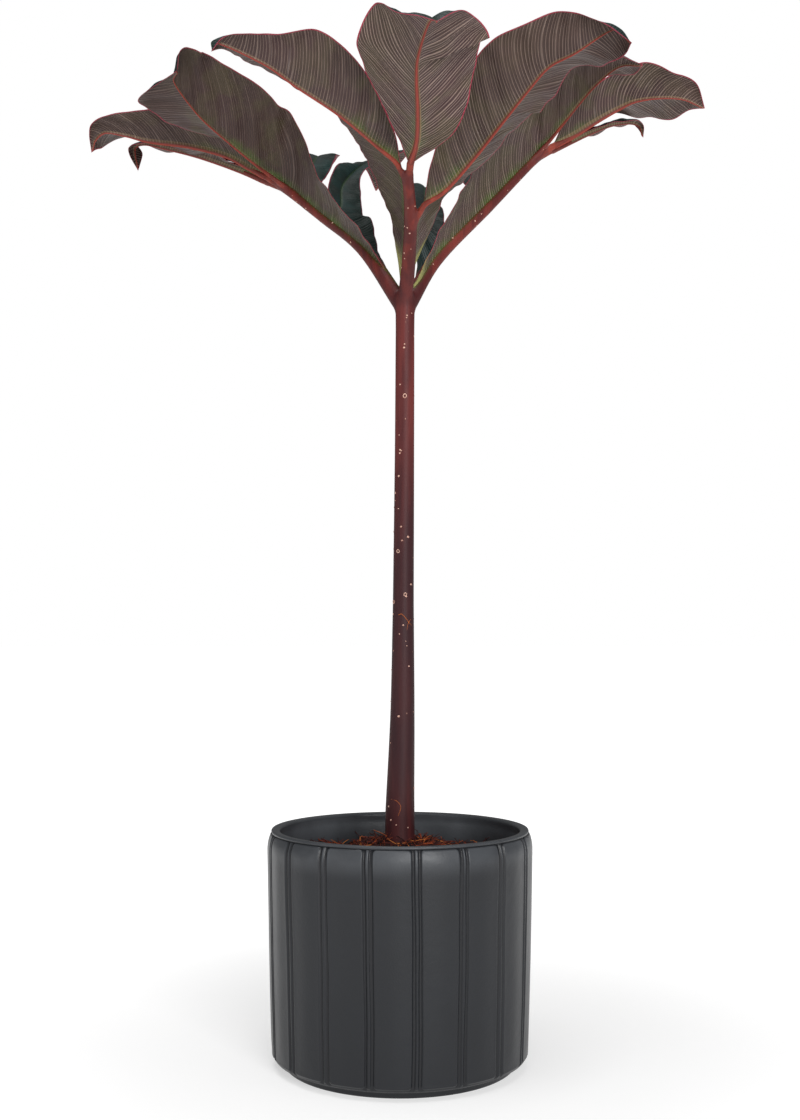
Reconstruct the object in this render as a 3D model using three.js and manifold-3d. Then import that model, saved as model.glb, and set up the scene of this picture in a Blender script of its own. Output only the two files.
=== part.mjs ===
// A potted Amorphophallus atroviridis: a dark ribbed cover pot, soil under a coir mulch, the tuber, and the
// one great leaf that grows from it, on a tall stalk with three branches and thirteen leaflets.
// Millimetres, +Z up, the middle of the pot's base at the origin, the front towards -Y.

import * as THREE from "three";
import { mergeVertices } from "three/addons/utils/BufferGeometryUtils.js";
import Module from "manifold-3d";

const wasm = await Module();
wasm.setup();

const GAP = 0.3; // clearance between pieces that touch in the real plant
const SNUG = 0.6; // the same between the pot's faceted inside and what fills it

const POT = {
  height: 157,
  footRadius: 78,
  footHeight: 5,
  baseRadius: 86,
  rimRadius: 90,
  wall: 8.5,
  floor: 10,
  seams: 18,
  firstSeamDeg: 6.9, // from the front towards +X
  ribsStart: 10,
  ribsEnd: 153.6,
  fullest: 144, // the height where the wall stops widening
};

// Relief across one seam: millimetres along the wall from the seam's middle, and height over the panel.
const SEAM = [
  [-4.2, 0.5],
  [-2.4, -1.1],
  [-1.0, 0.5],
  [1.0, 0.5],
  [2.4, -1.1],
  [4.2, 0.5],
];
const PANEL_CROWN = 0.3;

const SOIL = { top: 129, lump: 1.6 };
const MULCH = { edge: 138, mound: 13, moundRadius: 30, lump: 1.1, fibres: 18, fibreRadius: 0.6 };
const TUBER = { bottom: 58, height: 52, radius: 36 };

// The stalk: x, height and radius of its middle line, from the tuber to the three-way junction.
const STALK = [
  [0, 104, 9.2],
  [0, 132, 10.2],
  [0, 169, 10],
  [1.7, 235, 8.3],
  [2.3, 312, 7.2],
  [3.1, 415, 6.7],
  [3.5, 500, 6.5],
  [3.5, 522, 7.2],
];

// Each branch: its middle line from the junction to its fork, its radius at each point, and the starts of
// the leaflets that leave it, as [share of the way along, start of the leaflet].
const BRANCHES = {
  left_branch: {
    path: [[2, 2, 517], [-26, 18, 562], [-57, 33, 591], [-87, 47, 618]],
    radii: [5.8, 4.8, 4.0, 3.4],
    stubs: [
      [0.84, [-71, 50, 613]],
      [0.66, [-49, 41, 594]],
      [0.99, [-94, 40, 623]],
      [0.99, [-96, 47, 624]],
      [0.99, [-93, 55, 622]],
    ],
  },
  middle_branch: {
    path: [[3, 0, 517], [6, -16, 545], [7, -38, 569], [5, -62, 589]],
    radii: [5.2, 4.7, 4.3, 3.4],
    stubs: [
      [0.99, [7, -70, 595]],
      [0.99, [-1, -66, 595]],
      [0.64, [15, -43, 575]],
    ],
  },
  right_branch: {
    path: [[5, 2, 517], [26, 17, 555], [65, 34, 599], [103, 50, 643]],
    radii: [5.8, 4.9, 4.1, 3.4],
    stubs: [
      [0.44, [35, 32, 573]],
      [0.72, [71, 46, 616]],
      [0.99, [107, 43, 648]],
      [0.99, [111, 49, 648]],
      [0.99, [109, 57, 647]],
    ],
  },
};

const BLADE = { thickness: 0.9, lip: 1.0, blunt: 0.8, ridgeStart: 2.2, ridgeEnd: 0.5 };

// Each leaflet is three rails with as many stations each: its midrib, and its left and right margin as seen
// from above looking out to the tip. A wing is the blade's own strip down the side of the branch, given as
// the share of the way along the branch and the wing's margin there. The last point of all is the tip.
// Camber lifts the middle of each half, and ripple is the margin's wave: height, count and phase.
const LEAFLETS = {
  leaflet_front_middle: {
    branch: "middle_branch",
    rib: [[7, -70, 595], [11, -90, 603], [11, -115, 614], [10, -134, 625], [11, -150, 633], [16, -172, 637]],
    left: [[9, -71, 595], [35, -96, 607], [45, -118, 630], [47, -136, 645], [51, -150, 649], [37, -178, 648]],
    right: [[5, -71, 596], [-5, -91, 613], [-21, -118, 635], [-25, -138, 648], [-15, -160, 659], [1, -183, 644]],
    tip: [21, -195, 635],
    camber: 2.5,
    ripple: [1.2, 3, 0.3],
  },
  leaflet_front_left: {
    branch: "middle_branch",
    wingSide: "right",
    wing: [[0.12, [0, -6, 541]], [0.42, [-6, -14, 572]], [0.68, [-13, -26, 591]], [0.9, [-21, -35, 604]]],
    rib: [[-1, -66, 595], [-14, -74, 604], [-38, -88, 620], [-65, -103, 633], [-84, -116, 642], [-103, -128, 649]],
    left: [[0, -68, 597], [-5, -76, 616], [-24, -104, 644], [-50, -122, 660], [-76, -130, 654], [-96, -134, 653]],
    right: [[-25, -42, 612], [-30, -48, 619], [-47, -60, 634], [-75, -74, 649], [-94, -92, 651], [-109, -114, 651]],
    tip: [-115, -133, 644],
    camber: 2.5,
    ripple: [1.2, 4, 0.9],
  },
  leaflet_front_right: {
    branch: "middle_branch",
    wingSide: "left",
    wing: [[0.12, [8, -6, 542]], [0.38, [22, -14, 569]], [0.56, [27, -24, 582]]],
    rib: [
      [15, -43, 575], [30, -50, 584], [49, -62, 602], [65, -74, 619], [81, -86, 636], [94, -96, 648],
      [110, -106, 653], [128, -120, 660],
    ],
    left: [
      [36, -25, 591], [45, -26, 600], [67, -38, 617], [84, -50, 631], [99, -62, 643], [112, -74, 655],
      [128, -88, 652], [139, -112, 648],
    ],
    right: [
      [16, -46, 578], [20, -60, 597], [30, -74, 623], [43, -90, 647], [58, -106, 661], [81, -116, 668],
      [102, -122, 672], [124, -126, 663],
    ],
    tip: [141, -130, 650],
    camber: 3,
    ripple: [1.2, 4, 0.2],
  },
  leaflet_left_near: {
    branch: "left_branch",
    wingSide: "left",
    wing: [[0.12, [-9, -2, 541]], [0.36, [-27, -10, 568]], [0.7, [-57, -2, 608]], [0.95, [-75, 8, 653]]],
    rib: [[-94, 40, 623], [-108, 28, 631], [-135, 6, 648], [-146, -8, 658], [-154, -22, 667]],
    left: [[-86, 1, 661], [-97, -8, 669], [-128, -28, 682], [-140, -40, 684], [-147, -44, 680]],
    right: [[-96, 42, 624], [-122, 36, 644], [-156, 16, 649], [-172, 2, 655], [-182, -8, 661]],
    tip: [-156, -35, 671],
    camber: 3,
    ripple: [1.4, 4, 0.6],
  },
  leaflet_left_tip: {
    branch: "left_branch",
    rib: [
      [-96, 47, 624], [-110, 48, 632], [-127, 48, 641], [-154, 46, 647], [-183, 43, 650], [-199, 40, 653],
      [-214, 37, 654], [-222, 36, 647],
    ],
    left: [
      [-97, 45, 625], [-112, 34, 642], [-133, 26, 654], [-165, 28, 667], [-192, 24, 664], [-210, 24, 662],
      [-222, 28, 657], [-225, 32, 650],
    ],
    right: [
      [-97, 49, 624], [-115, 68, 645], [-135, 78, 659], [-163, 80, 667], [-192, 74, 667], [-210, 66, 660],
      [-219, 54, 649], [-222, 43, 643],
    ],
    tip: [-224, 35, 638],
    camber: 2,
    ripple: [1.0, 4, 0.4],
  },
  leaflet_left_far: {
    branch: "left_branch",
    rib: [
      [-93, 55, 622], [-119, 64, 636], [-151, 74, 650], [-179, 84, 660], [-195, 90, 665], [-204, 93, 663],
      [-204, 94, 655],
    ],
    left: [
      [-94, 53, 622], [-112, 53, 629], [-143, 55, 641], [-169, 64, 652], [-188, 76, 660], [-205, 86, 661],
      [-207, 90, 655],
    ],
    right: [
      [-93, 57, 623], [-127, 88, 644], [-159, 106, 659], [-189, 112, 668], [-204, 110, 669], [-202, 102, 665],
      [-199, 99, 658],
    ],
    tip: [-201, 94, 644],
    camber: 2,
    ripple: [1.0, 4, 0.1],
  },
  leaflet_left_rear: {
    branch: "left_branch",
    rib: [[-71, 50, 613], [-71, 72, 629], [-68, 100, 650], [-66, 126, 666], [-65, 152, 674], [-68, 172, 674]],
    left: [[-73, 51, 614], [-82, 78, 636], [-87, 106, 655], [-85, 132, 670], [-82, 156, 677], [-80, 174, 676]],
    right: [[-69, 52, 613], [-61, 70, 624], [-54, 100, 647], [-50, 126, 667], [-49, 148, 674], [-57, 170, 674]],
    tip: [-72, 188, 666],
    camber: 2,
    ripple: [1.2, 4, 0.5],
  },
  leaflet_left_inner: {
    branch: "left_branch",
    wingSide: "right",
    wing: [[0.12, [-7, 15, 543]], [0.34, [-15, 34, 564]], [0.58, [-20, 48, 589]]],
    rib: [[-49, 41, 594], [-44, 60, 606], [-44, 84, 628], [-37, 108, 647], [-27, 134, 663], [-15, 160, 672]],
    left: [[-51, 42, 597], [-54, 58, 611], [-53, 80, 633], [-47, 100, 652], [-40, 130, 660], [-29, 160, 669]],
    right: [[-26, 56, 597], [-28, 64, 601], [-30, 84, 623], [-29, 104, 646], [-11, 136, 668], [6, 164, 683]],
    tip: [-20, 184, 657],
    camber: 1.5,
    ripple: [1.4, 4, 0.2],
  },
  leaflet_right_near: {
    branch: "right_branch",
    wingSide: "right",
    wing: [[0.12, [14, -1, 541]], [0.36, [32, -6, 577]], [0.7, [60, 4, 629]], [0.95, [93, 10, 664]]],
    rib: [[107, 43, 648], [125, 16, 665], [137, -10, 672], [149, -34, 674]],
    left: [[108, 44, 650], [136, 30, 684], [145, 4, 683], [159, -22, 672]],
    right: [[99, 2, 670], [117, -18, 679], [130, -34, 681], [146, -48, 675]],
    tip: [162, -50, 668],
    camber: 3,
    ripple: [1.4, 4, 0.7],
  },
  leaflet_right_tip: {
    branch: "right_branch",
    rib: [
      [111, 49, 648], [126, 46, 655], [144, 42, 665], [159, 38, 672], [171, 34, 676], [188, 30, 677],
      [205, 28, 675],
    ],
    left: [
      [111, 51, 648], [131, 70, 671], [151, 74, 680], [168, 70, 680], [184, 62, 673], [200, 54, 670],
      [213, 44, 673],
    ],
    right: [
      [113, 48, 649], [122, 33, 666], [135, 24, 678], [153, 20, 690], [174, 12, 695], [195, 12, 688],
      [212, 18, 682],
    ],
    tip: [220, 28, 668],
    camber: 2,
    ripple: [1.0, 4, 0.8],
  },
  leaflet_right_far: {
    branch: "right_branch",
    rib: [[109, 57, 647], [128, 70, 660], [144, 76, 669], [161, 82, 677], [176, 87, 680], [184, 88, 677]],
    left: [[108, 59, 647], [129, 90, 664], [147, 106, 676], [164, 111, 683], [178, 108, 686], [183, 98, 680]],
    right: [[110, 56, 647], [127, 60, 656], [142, 60, 664], [160, 64, 671], [175, 73, 676], [185, 83, 676]],
    tip: [186, 88, 668],
    camber: 2,
    ripple: [1.0, 4, 0.3],
  },
  leaflet_right_rear: {
    branch: "right_branch",
    rib: [[71, 46, 616], [70, 70, 630], [72, 96, 645], [77, 122, 659], [85, 146, 669], [96, 166, 672]],
    left: [[69, 47, 616], [52, 64, 622], [47, 90, 638], [53, 118, 656], [66, 142, 669], [82, 164, 674]],
    right: [[73, 48, 617], [88, 78, 637], [96, 106, 655], [103, 130, 668], [109, 152, 676], [110, 170, 676]],
    tip: [108, 182, 669],
    camber: 2,
    ripple: [1.2, 4, 0.6],
  },
  leaflet_right_inner: {
    branch: "right_branch",
    wingSide: "left",
    wing: [[0.12, [12, 15, 542]], [0.24, [12, 30, 559]], [0.38, [11, 46, 583]]],
    rib: [[35, 32, 573], [22, 62, 592], [20, 86, 614], [19, 112, 632], [20, 140, 646], [22, 168, 652]],
    left: [[9, 54, 592], [10, 62, 601], [9, 86, 620], [10, 112, 636], [11, 140, 649], [16, 168, 653]],
    right: [[38, 34, 575], [33, 58, 592], [33, 82, 607], [30, 106, 624], [29, 134, 643], [29, 166, 652]],
    tip: [26, 194, 649],
    camber: 1.5,
    ripple: [1.4, 4, 0.0],
  },
};

const FINISH = {
  pot: new THREE.MeshStandardMaterial({ color: 0x393c3f, roughness: 0.42, metalness: 0 }),
  soil: new THREE.MeshStandardMaterial({ color: 0x2b1c14, roughness: 0.95, metalness: 0 }),
  coir: new THREE.MeshStandardMaterial({ color: 0x6b3418, roughness: 0.9, metalness: 0 }),
  tuber: new THREE.MeshStandardMaterial({ color: 0x7a5a48, roughness: 0.85, metalness: 0 }),
  stalk: new THREE.MeshStandardMaterial({ color: 0x57353a, roughness: 0.5, metalness: 0 }),
  branch: new THREE.MeshStandardMaterial({ color: 0x7f3c33, roughness: 0.5, metalness: 0 }),
  blade: new THREE.MeshStandardMaterial({ color: 0x5f524b, roughness: 0.55, metalness: 0 }),
};

const vec = ([x, y, z]) => new THREE.Vector3(x, y, z);
const smoothstep = (lo, hi, x) => THREE.MathUtils.smoothstep(x, lo, hi);

// A repeatable random number between 0 and 1.
function seeded(seed) {
  let state = seed;
  return () => {
    state = (state * 1664525 + 1013904223) >>> 0;
    return state / 4294967296;
  };
}

// A closed solid from rings of points that run the same way round, with a fan over each end.
function loft(rings) {
  const around = rings[0].length;
  const points = rings.flat();
  const faces = [];
  for (let row = 0; row + 1 < rings.length; row += 1) {
    for (let i = 0; i < around; i += 1) {
      const next = (i + 1) % around;
      const [a, b] = [row * around + i, row * around + next];
      faces.push(a, b, b + around, a, b + around, a + around);
    }
  }
  const last = (rings.length - 1) * around;
  const foot = points.push(centre(rings[0])) - 1;
  const crown = points.push(centre(rings[rings.length - 1])) - 1;
  for (let i = 0; i < around; i += 1) {
    const next = (i + 1) % around;
    faces.push(foot, next, i, crown, last + i, last + next);
  }
  return geometryOf(points, faces);
}

function centre(ring) {
  const middle = new THREE.Vector3();
  ring.forEach((point) => middle.add(point));
  return middle.divideScalar(ring.length);
}

function geometryOf(points, faces) {
  const geometry = new THREE.BufferGeometry().setFromPoints(points);
  geometry.setIndex(faces);
  return geometry;
}

// A tapering tube with rounded ends along a smooth curve through the points.
function tube(points, radii, sides, steps, grow = 0) {
  const curve = new THREE.CatmullRomCurve3(points);
  const frames = curve.computeFrenetFrames(steps, false);
  const rings = [];
  for (let i = 0; i <= steps; i += 1) {
    const along = i / steps;
    const middle = curve.getPointAt(along);
    const radius = sampled(radii, curve.getUtoTmapping(along)) + grow;
    rings.push(circle(middle, frames.normals[i], frames.binormals[i], radius, sides));
  }
  return loft(rings);
}

function circle(middle, normal, binormal, radius, sides) {
  const ring = [];
  for (let i = 0; i < sides; i += 1) {
    const turn = (2 * Math.PI * i) / sides;
    const point = middle.clone().addScaledVector(normal, radius * Math.cos(turn));
    ring.push(point.addScaledVector(binormal, radius * Math.sin(turn)));
  }
  return ring;
}

// A list of numbers read at a share of its length, straight between the entries.
function sampled(list, share) {
  const place = share * (list.length - 1);
  const low = Math.min(Math.floor(place), list.length - 2);
  return THREE.MathUtils.lerp(list[low], list[low + 1], place - low);
}

// Boolean work: from three.js to manifold-3d and back.
function solid(geometry) {
  const bare = geometry.clone();
  bare.deleteAttribute("normal");
  bare.deleteAttribute("uv");
  const merged = mergeVertices(bare, 1e-4);
  const made = new wasm.Manifold(
    new wasm.Mesh({
      numProp: 3,
      vertProperties: new Float32Array(merged.getAttribute("position").array),
      triVerts: new Uint32Array(merged.getIndex().array),
    }),
  );
  if (made.volume() >= 0) return made;
  throw new Error("a solid is inside out");
}

function drawn(made) {
  const mesh = made.getMesh();
  const geometry = new THREE.BufferGeometry();
  geometry.setAttribute("position", new THREE.BufferAttribute(mesh.vertProperties, 3));
  geometry.setIndex(new THREE.BufferAttribute(mesh.triVerts, 1));
  return geometry;
}

const joined = (parts) => wasm.Manifold.union(parts);

// What is left of a solid once its neighbours are cut out of it: its largest piece.
function clearOf(made, cutters) {
  const left = cutters.reduce((body, cutter) => body.subtract(cutter), made);
  const pieces = left.decompose().sort((a, b) => b.volume() - a.volume());
  return pieces[0].simplify(0.02);
}

// The pot: rings of the wall with a bead between two grooves at each seam, hollowed by a turned form.
function potRing(radius, z, relief) {
  const ring = [];
  for (let seam = 0; seam < POT.seams; seam += 1) {
    const angle = THREE.MathUtils.degToRad(POT.firstSeamDeg - 90 + (360 / POT.seams) * seam);
    for (const [along, rise] of SEAM) {
      ring.push(polar(radius + rise * relief, angle + along / radius, z));
    }
    ring.push(polar(radius + PANEL_CROWN * relief, angle + Math.PI / POT.seams, z));
  }
  return ring;
}

function polar(radius, angle, z) {
  return new THREE.Vector3(radius * Math.cos(angle), radius * Math.sin(angle), z);
}

function wallRadius(z) {
  const share = THREE.MathUtils.clamp(z / POT.fullest, 0, 1);
  return THREE.MathUtils.lerp(POT.baseRadius, POT.rimRadius, Math.pow(share, 0.8));
}

function potSolid() {
  const top = POT.height;
  const rows = [
    [POT.footRadius - 1.2, 0, 0],
    [POT.footRadius, 1.2, 0],
    [POT.footRadius + 0.6, POT.footHeight, 0],
    [POT.baseRadius - 2.2, POT.footHeight + 1.6, 0],
    [wallRadius(POT.footHeight + 3) - 0.8, POT.footHeight + 3, 0],
    [wallRadius(POT.ribsStart), POT.ribsStart, 1],
    [wallRadius(POT.fullest), POT.fullest, 1],
    [POT.rimRadius - 1.1, POT.ribsEnd, 1],
    [POT.rimRadius - 2.2, top - 1.8, 0],
    [POT.rimRadius - 2.0, top - 1.2, 0],
    [POT.rimRadius - 3.4, top, 0],
  ];
  const body = solid(loft(rows.map(([radius, z, relief]) => potRing(radius, z, relief))));
  return drawn(body.subtract(solid(insideForm(0))));
}

// The inside of the pot as a turned form, drawn in from the wall by the amount asked.
function insideRadius(z) {
  return wallRadius(z) - POT.wall;
}

function insideForm(drawIn, top = POT.height + 1) {
  const profile = [new THREE.Vector2(0, POT.floor + drawIn)];
  profile.push(new THREE.Vector2(insideRadius(POT.floor) - 5 - drawIn, POT.floor + drawIn));
  profile.push(new THREE.Vector2(insideRadius(POT.floor) - drawIn, POT.floor + 5));
  if (top <= POT.height) {
    profile.push(new THREE.Vector2(insideRadius(top) - drawIn, top));
  } else {
    profile.push(new THREE.Vector2(insideRadius(POT.height - 5), POT.height - 5));
    profile.push(new THREE.Vector2(insideRadius(POT.height) + 0.6, POT.height - 1.5));
    profile.push(new THREE.Vector2(insideRadius(POT.height) + 2.6, POT.height));
    profile.push(new THREE.Vector2(insideRadius(POT.height) + 2.6, top));
  }
  profile.push(new THREE.Vector2(0, top));
  return upright(new THREE.LatheGeometry(profile, 48));
}

// A lathe turns about Y: this stands it on Z.
function upright(geometry) {
  return geometry.rotateX(Math.PI / 2);
}

// How uneven the top of the soil and the mulch is, from a few crossed waves.
function lumps(x, y) {
  const coarse = Math.sin(0.13 * x + 0.4) * Math.cos(0.11 * y + 1.1);
  const fine = Math.sin(0.29 * x - 0.17 * y + 0.9) * Math.cos(0.31 * y + 0.12 * x);
  return 0.6 * coarse + 0.4 * fine;
}

// A round bed from a flat underside to an uneven top.
function bed(bottom, radius, heightAt, rings, sectors) {
  const rows = [];
  for (let i = 1; i <= rings; i += 1) {
    rows.push([radius * (i / rings), bottom]);
  }
  const ringAt = (r, z) =>
    Array.from({ length: sectors }, (_, i) => {
      const angle = (2 * Math.PI * i) / sectors;
      const point = polar(r, angle, 0);
      point.z = z === null ? heightAt(point.x, point.y) : z;
      return point;
    });
  const under = [ringAt(radius, bottom)];
  const over = rows.reverse().map(([r]) => ringAt(r, null));
  return loft([...under, ...over]);
}

function soilSolid(cutters) {
  const heightAt = (x, y) => SOIL.top + SOIL.lump * lumps(x, y) - SOIL.lump;
  const top = bed(SOIL.top - 12, insideRadius(SOIL.top - 12) - SNUG, heightAt, 3, 32);
  const filling = solid(insideForm(SNUG, SOIL.top - 11));
  return drawn(clearOf(joined([filling, solid(top)]), cutters));
}

function mulchHeight(x, y) {
  const out = Math.hypot(x, y) / MULCH.moundRadius;
  return MULCH.edge + MULCH.mound * Math.exp(-out * out) + MULCH.lump * lumps(1.4 * x, 1.4 * y);
}

// One loose coir fibre: a thin three-sided arch with both ends sunk in the bed.
function fibre(random) {
  const distance = 14 + 60 * Math.sqrt(random());
  const around = 2 * Math.PI * random();
  const heading = 2 * Math.PI * random();
  const length = 12 + 16 * random();
  const bend = 7 * (random() - 0.5);
  const rise = 1 + 2.4 * random();
  const points = [];
  for (let i = 0; i <= 4; i += 1) {
    const along = i / 4 - 0.5;
    const side = bend * (1 - 4 * along * along);
    const x = distance * Math.cos(around) + along * length * Math.cos(heading) - side * Math.sin(heading);
    const y = distance * Math.sin(around) + along * length * Math.sin(heading) + side * Math.cos(heading);
    const within = Math.min(1, 75 / Math.hypot(x, y));
    const lift = i === 0 || i === 4 ? -1.4 : rise;
    points.push(new THREE.Vector3(x * within, y * within, mulchHeight(x * within, y * within) + lift));
  }
  return solid(tube(points, [MULCH.fibreRadius, MULCH.fibreRadius], 3, 5));
}

function mulchSolid(cutters) {
  const random = seeded(5574);
  const mat = bed(SOIL.top + GAP, insideRadius(SOIL.top) - SNUG, mulchHeight, 5, 36);
  const parts = [solid(mat)];
  for (let i = 0; i < MULCH.fibres; i += 1) {
    parts.push(fibre(random));
  }
  return drawn(clearOf(joined(parts), cutters));
}

// The tuber: a flattened globe with a shallow hollow where the stalk leaves it.
function tuberForm(grow = 0) {
  const profile = [];
  const steps = 9;
  for (let i = 0; i <= steps; i += 1) {
    const angle = (Math.PI * i) / steps - Math.PI / 2;
    const radius = i === 0 || i === steps ? 0 : (TUBER.radius + grow) * Math.cos(angle);
    const middle = TUBER.bottom + TUBER.height / 2;
    const dent = i === steps ? 3 : 0;
    profile.push(new THREE.Vector2(radius, middle + (TUBER.height / 2 + grow) * Math.sin(angle) - dent));
  }
  return upright(new THREE.LatheGeometry(profile, 22));
}

function stalkForm(grow = 0) {
  const points = STALK.map(([x, z]) => new THREE.Vector3(x, 0, z));
  const radii = STALK.map(([, , radius]) => radius);
  return tube(points, radii, 16, 14, grow);
}

// A branch's tubes: its middle line and the short stub that each of its leaflets grows on.
function branchForm(branch, grow = 0) {
  const curve = branchCurve(branch);
  const parts = [solid(tube(branch.path.map(vec), branch.radii, 10, 9, grow))];
  for (const [share, start] of branch.stubs) {
    const from = curve.getPoint(share);
    const end = vec(start);
    end.addScaledVector(from.clone().sub(end).normalize(), GAP);
    const thick = Math.min(sampled(branch.radii, share), 3) * 0.9;
    parts.push(solid(tube([from, end], [thick, BLADE.ridgeStart + 0.1], 8, 2, grow)));
  }
  return joined(parts);
}

const branchCurve = (branch) => new THREE.CatmullRomCurve3(branch.path.map(vec), false, "catmullrom");

// The stations of a leaflet's three rails, the wing's first, ending in a blunt tip.
function railsOf(leaflet) {
  const rails = { rib: [], left: [], right: [] };
  const branch = BRANCHES[leaflet.branch];
  const other = leaflet.wingSide === "left" ? "right" : "left";
  for (const [share, margin] of leaflet.wing ?? []) {
    const curve = branchCurve(branch);
    const base = curve.getPoint(share);
    const along = curve.getTangent(share);
    const out = vec(margin).sub(base);
    out.addScaledVector(along, -out.dot(along)).normalize();
    const inner = sampled(branch.radii, share) + 2 * GAP;
    rails[other].push(base.clone().addScaledVector(out, inner));
    rails.rib.push(base.clone().addScaledVector(out, inner + BLADE.lip));
    rails[leaflet.wingSide].push(vec(margin));
  }
  for (const name of ["rib", "left", "right"]) {
    rails[name].push(...leaflet[name].map(vec), vec(leaflet.tip));
  }
  return rails;
}

const ACROSS = [0, 0.12, 0.45, 0.78, 1];

// One leaflet: an upper and an under surface a blade's thickness apart, with the midrib's ridge below.
function leafletForm(leaflet) {
  const rails = railsOf(leaflet);
  const curves = {};
  for (const name of ["rib", "left", "right"]) {
    curves[name] = new THREE.CatmullRomCurve3(rails[name], false, "catmullrom");
  }
  const steps = 2 * (rails.rib.length - 1);
  const winged = (leaflet.wing ?? []).length / (rails.rib.length - 1);
  const rings = [];
  for (let i = 0; i <= steps; i += 1) {
    rings.push(bladeSection(curves, leaflet, i / steps, winged));
  }
  return bladeShell(rings);
}

// One cross-section of the blade: points over and under, from the left margin to the right one.
function bladeSection(curves, leaflet, along, winged) {
  const rib = curves.rib.getPoint(along);
  const ahead = curves.rib.getTangent(along);
  const level = new THREE.Vector3(0, 0, 1).cross(ahead).normalize();
  const [height, count, phase] = leaflet.ripple;
  const fullness = Math.sin(Math.PI * Math.min(1, Math.max(0, along)));
  const ridge = THREE.MathUtils.lerp(BLADE.ridgeStart, BLADE.ridgeEnd, along) * smoothstep(winged - 0.12, winged, along);
  const half = (name, turn) => {
    const reach = curves[name].getPoint(along).sub(rib).addScaledVector(level, turn * BLADE.blunt * along);
    const up = ahead.clone().cross(reach).multiplyScalar(turn).normalize();
    const span = reach.length();
    return ACROSS.map((share, column) => {
      const edge = Math.min(1, ridge / Math.max(span, 1));
      const out = column === 1 ? Math.min(0.3, Math.max(edge, 0.08)) : share;
      const wave = height * Math.sin(2 * Math.PI * (count * along + phase)) * out * out;
      const lift = (4 * leaflet.camber * out * (1 - out) + wave) * fullness * Math.min(1, span / 25);
      const over = rib.clone().addScaledVector(reach, out).addScaledVector(up, lift);
      const deep = BLADE.thickness + (column === 0 ? 1.5 * ridge : 0);
      return { over, up, deep };
    });
  };
  const left = half("left", 1);
  const right = half("right", -1);
  const middleUp = left[0].up.clone().add(right[0].up).normalize();
  left[0].up.copy(middleUp);
  const section = [...left.reverse(), ...right.slice(1)];
  return {
    over: section.map((entry) => entry.over),
    under: section.map((entry) => entry.over.clone().addScaledVector(entry.up, -entry.deep)),
  };
}

// The closed shell around the sections: over, under, both margins and both ends, with the quads of the
// upper and the under face split the same way.
function bladeShell(sections) {
  const across = sections[0].over.length;
  const ring = 2 * across;
  const points = sections.flatMap(({ over, under }) => [...over, ...under.slice().reverse()]);
  const faces = [];
  const quad = (a, b, c, d) => faces.push(a, b, c, a, c, d);
  for (let row = 0; row + 1 < sections.length; row += 1) {
    for (let i = 0; i < ring; i += 1) {
      const next = (i + 1) % ring;
      const [near, far] = [row * ring, (row + 1) * ring];
      const below = i >= across && next !== 0;
      if (below) quad(near + next, far + next, far + i, near + i);
      else quad(near + i, near + next, far + next, far + i);
    }
  }
  const end = (sections.length - 1) * ring;
  for (let i = 0; i + 1 < across; i += 1) {
    const under = ring - 1 - i;
    quad(i, under, under - 1, i + 1);
    quad(end + i + 1, end + under - 1, end + under, end + i);
  }
  return geometryOf(points, faces);
}

function named(name, geometry, material) {
  const mesh = new THREE.Mesh(geometry, material);
  mesh.name = name;
  return mesh;
}

const plant = new THREE.Group();

const stalk = solid(stalkForm());
const stalkRoom = solid(stalkForm(GAP));
const tuberRoom = solid(tuberForm(GAP));

plant.add(named("pot", potSolid(), FINISH.pot));
plant.add(named("soil", soilSolid([tuberRoom, stalkRoom]), FINISH.soil));
plant.add(named("coir_mulch", mulchSolid([stalkRoom]), FINISH.coir));
plant.add(named("tuber", drawn(clearOf(solid(tuberForm()), [stalkRoom])), FINISH.tuber));
plant.add(named("petiole", drawn(stalk), FINISH.stalk));

const rooms = {};
for (const [name, branch] of Object.entries(BRANCHES)) {
  rooms[name] = branchForm(branch, GAP);
}
for (const [name, branch] of Object.entries(BRANCHES)) {
  const neighbours = name === "middle_branch" ? [stalkRoom] : [stalkRoom, rooms.middle_branch];
  if (name === "right_branch") neighbours.push(rooms.left_branch);
  plant.add(named(name, drawn(clearOf(branchForm(branch), neighbours)), FINISH.branch));
}
for (const [name, leaflet] of Object.entries(LEAFLETS)) {
  const blade = solid(leafletForm(leaflet));
  const cutters = [...Object.values(rooms), stalkRoom];
  plant.add(named(name, drawn(clearOf(blade, cutters)), FINISH.blade));
}

export default plant;
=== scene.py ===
"""A potted Amorphophallus atroviridis, dressed for its photograph.

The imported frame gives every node's place. The leaf's stalk, branches and leaflets, the cover pot and the
coir on the soil are made again here in fine detail, on the solids' own stations except for a few tips and
margins that were set against the photo later. Sizes are in millimetres until a mesh is made, the front is
towards -Y and the middle of the pot's base is the origin.
"""

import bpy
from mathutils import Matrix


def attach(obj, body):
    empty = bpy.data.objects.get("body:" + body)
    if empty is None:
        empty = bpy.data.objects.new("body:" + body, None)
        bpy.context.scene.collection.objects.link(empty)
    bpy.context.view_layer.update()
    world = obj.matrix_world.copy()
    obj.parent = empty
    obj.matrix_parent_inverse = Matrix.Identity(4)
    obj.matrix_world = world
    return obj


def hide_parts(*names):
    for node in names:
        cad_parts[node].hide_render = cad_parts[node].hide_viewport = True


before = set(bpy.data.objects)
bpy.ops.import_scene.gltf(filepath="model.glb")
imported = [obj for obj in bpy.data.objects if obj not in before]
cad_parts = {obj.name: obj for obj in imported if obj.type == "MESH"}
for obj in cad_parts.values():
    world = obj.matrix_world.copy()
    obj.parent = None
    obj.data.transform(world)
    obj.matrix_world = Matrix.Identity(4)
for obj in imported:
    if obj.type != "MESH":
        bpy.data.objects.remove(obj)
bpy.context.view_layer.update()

import logging
import math
from dataclasses import dataclass, field
from enum import Enum
from typing import NamedTuple, Optional, Union

import bpy
import numpy as np
from mathutils import Vector

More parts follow.
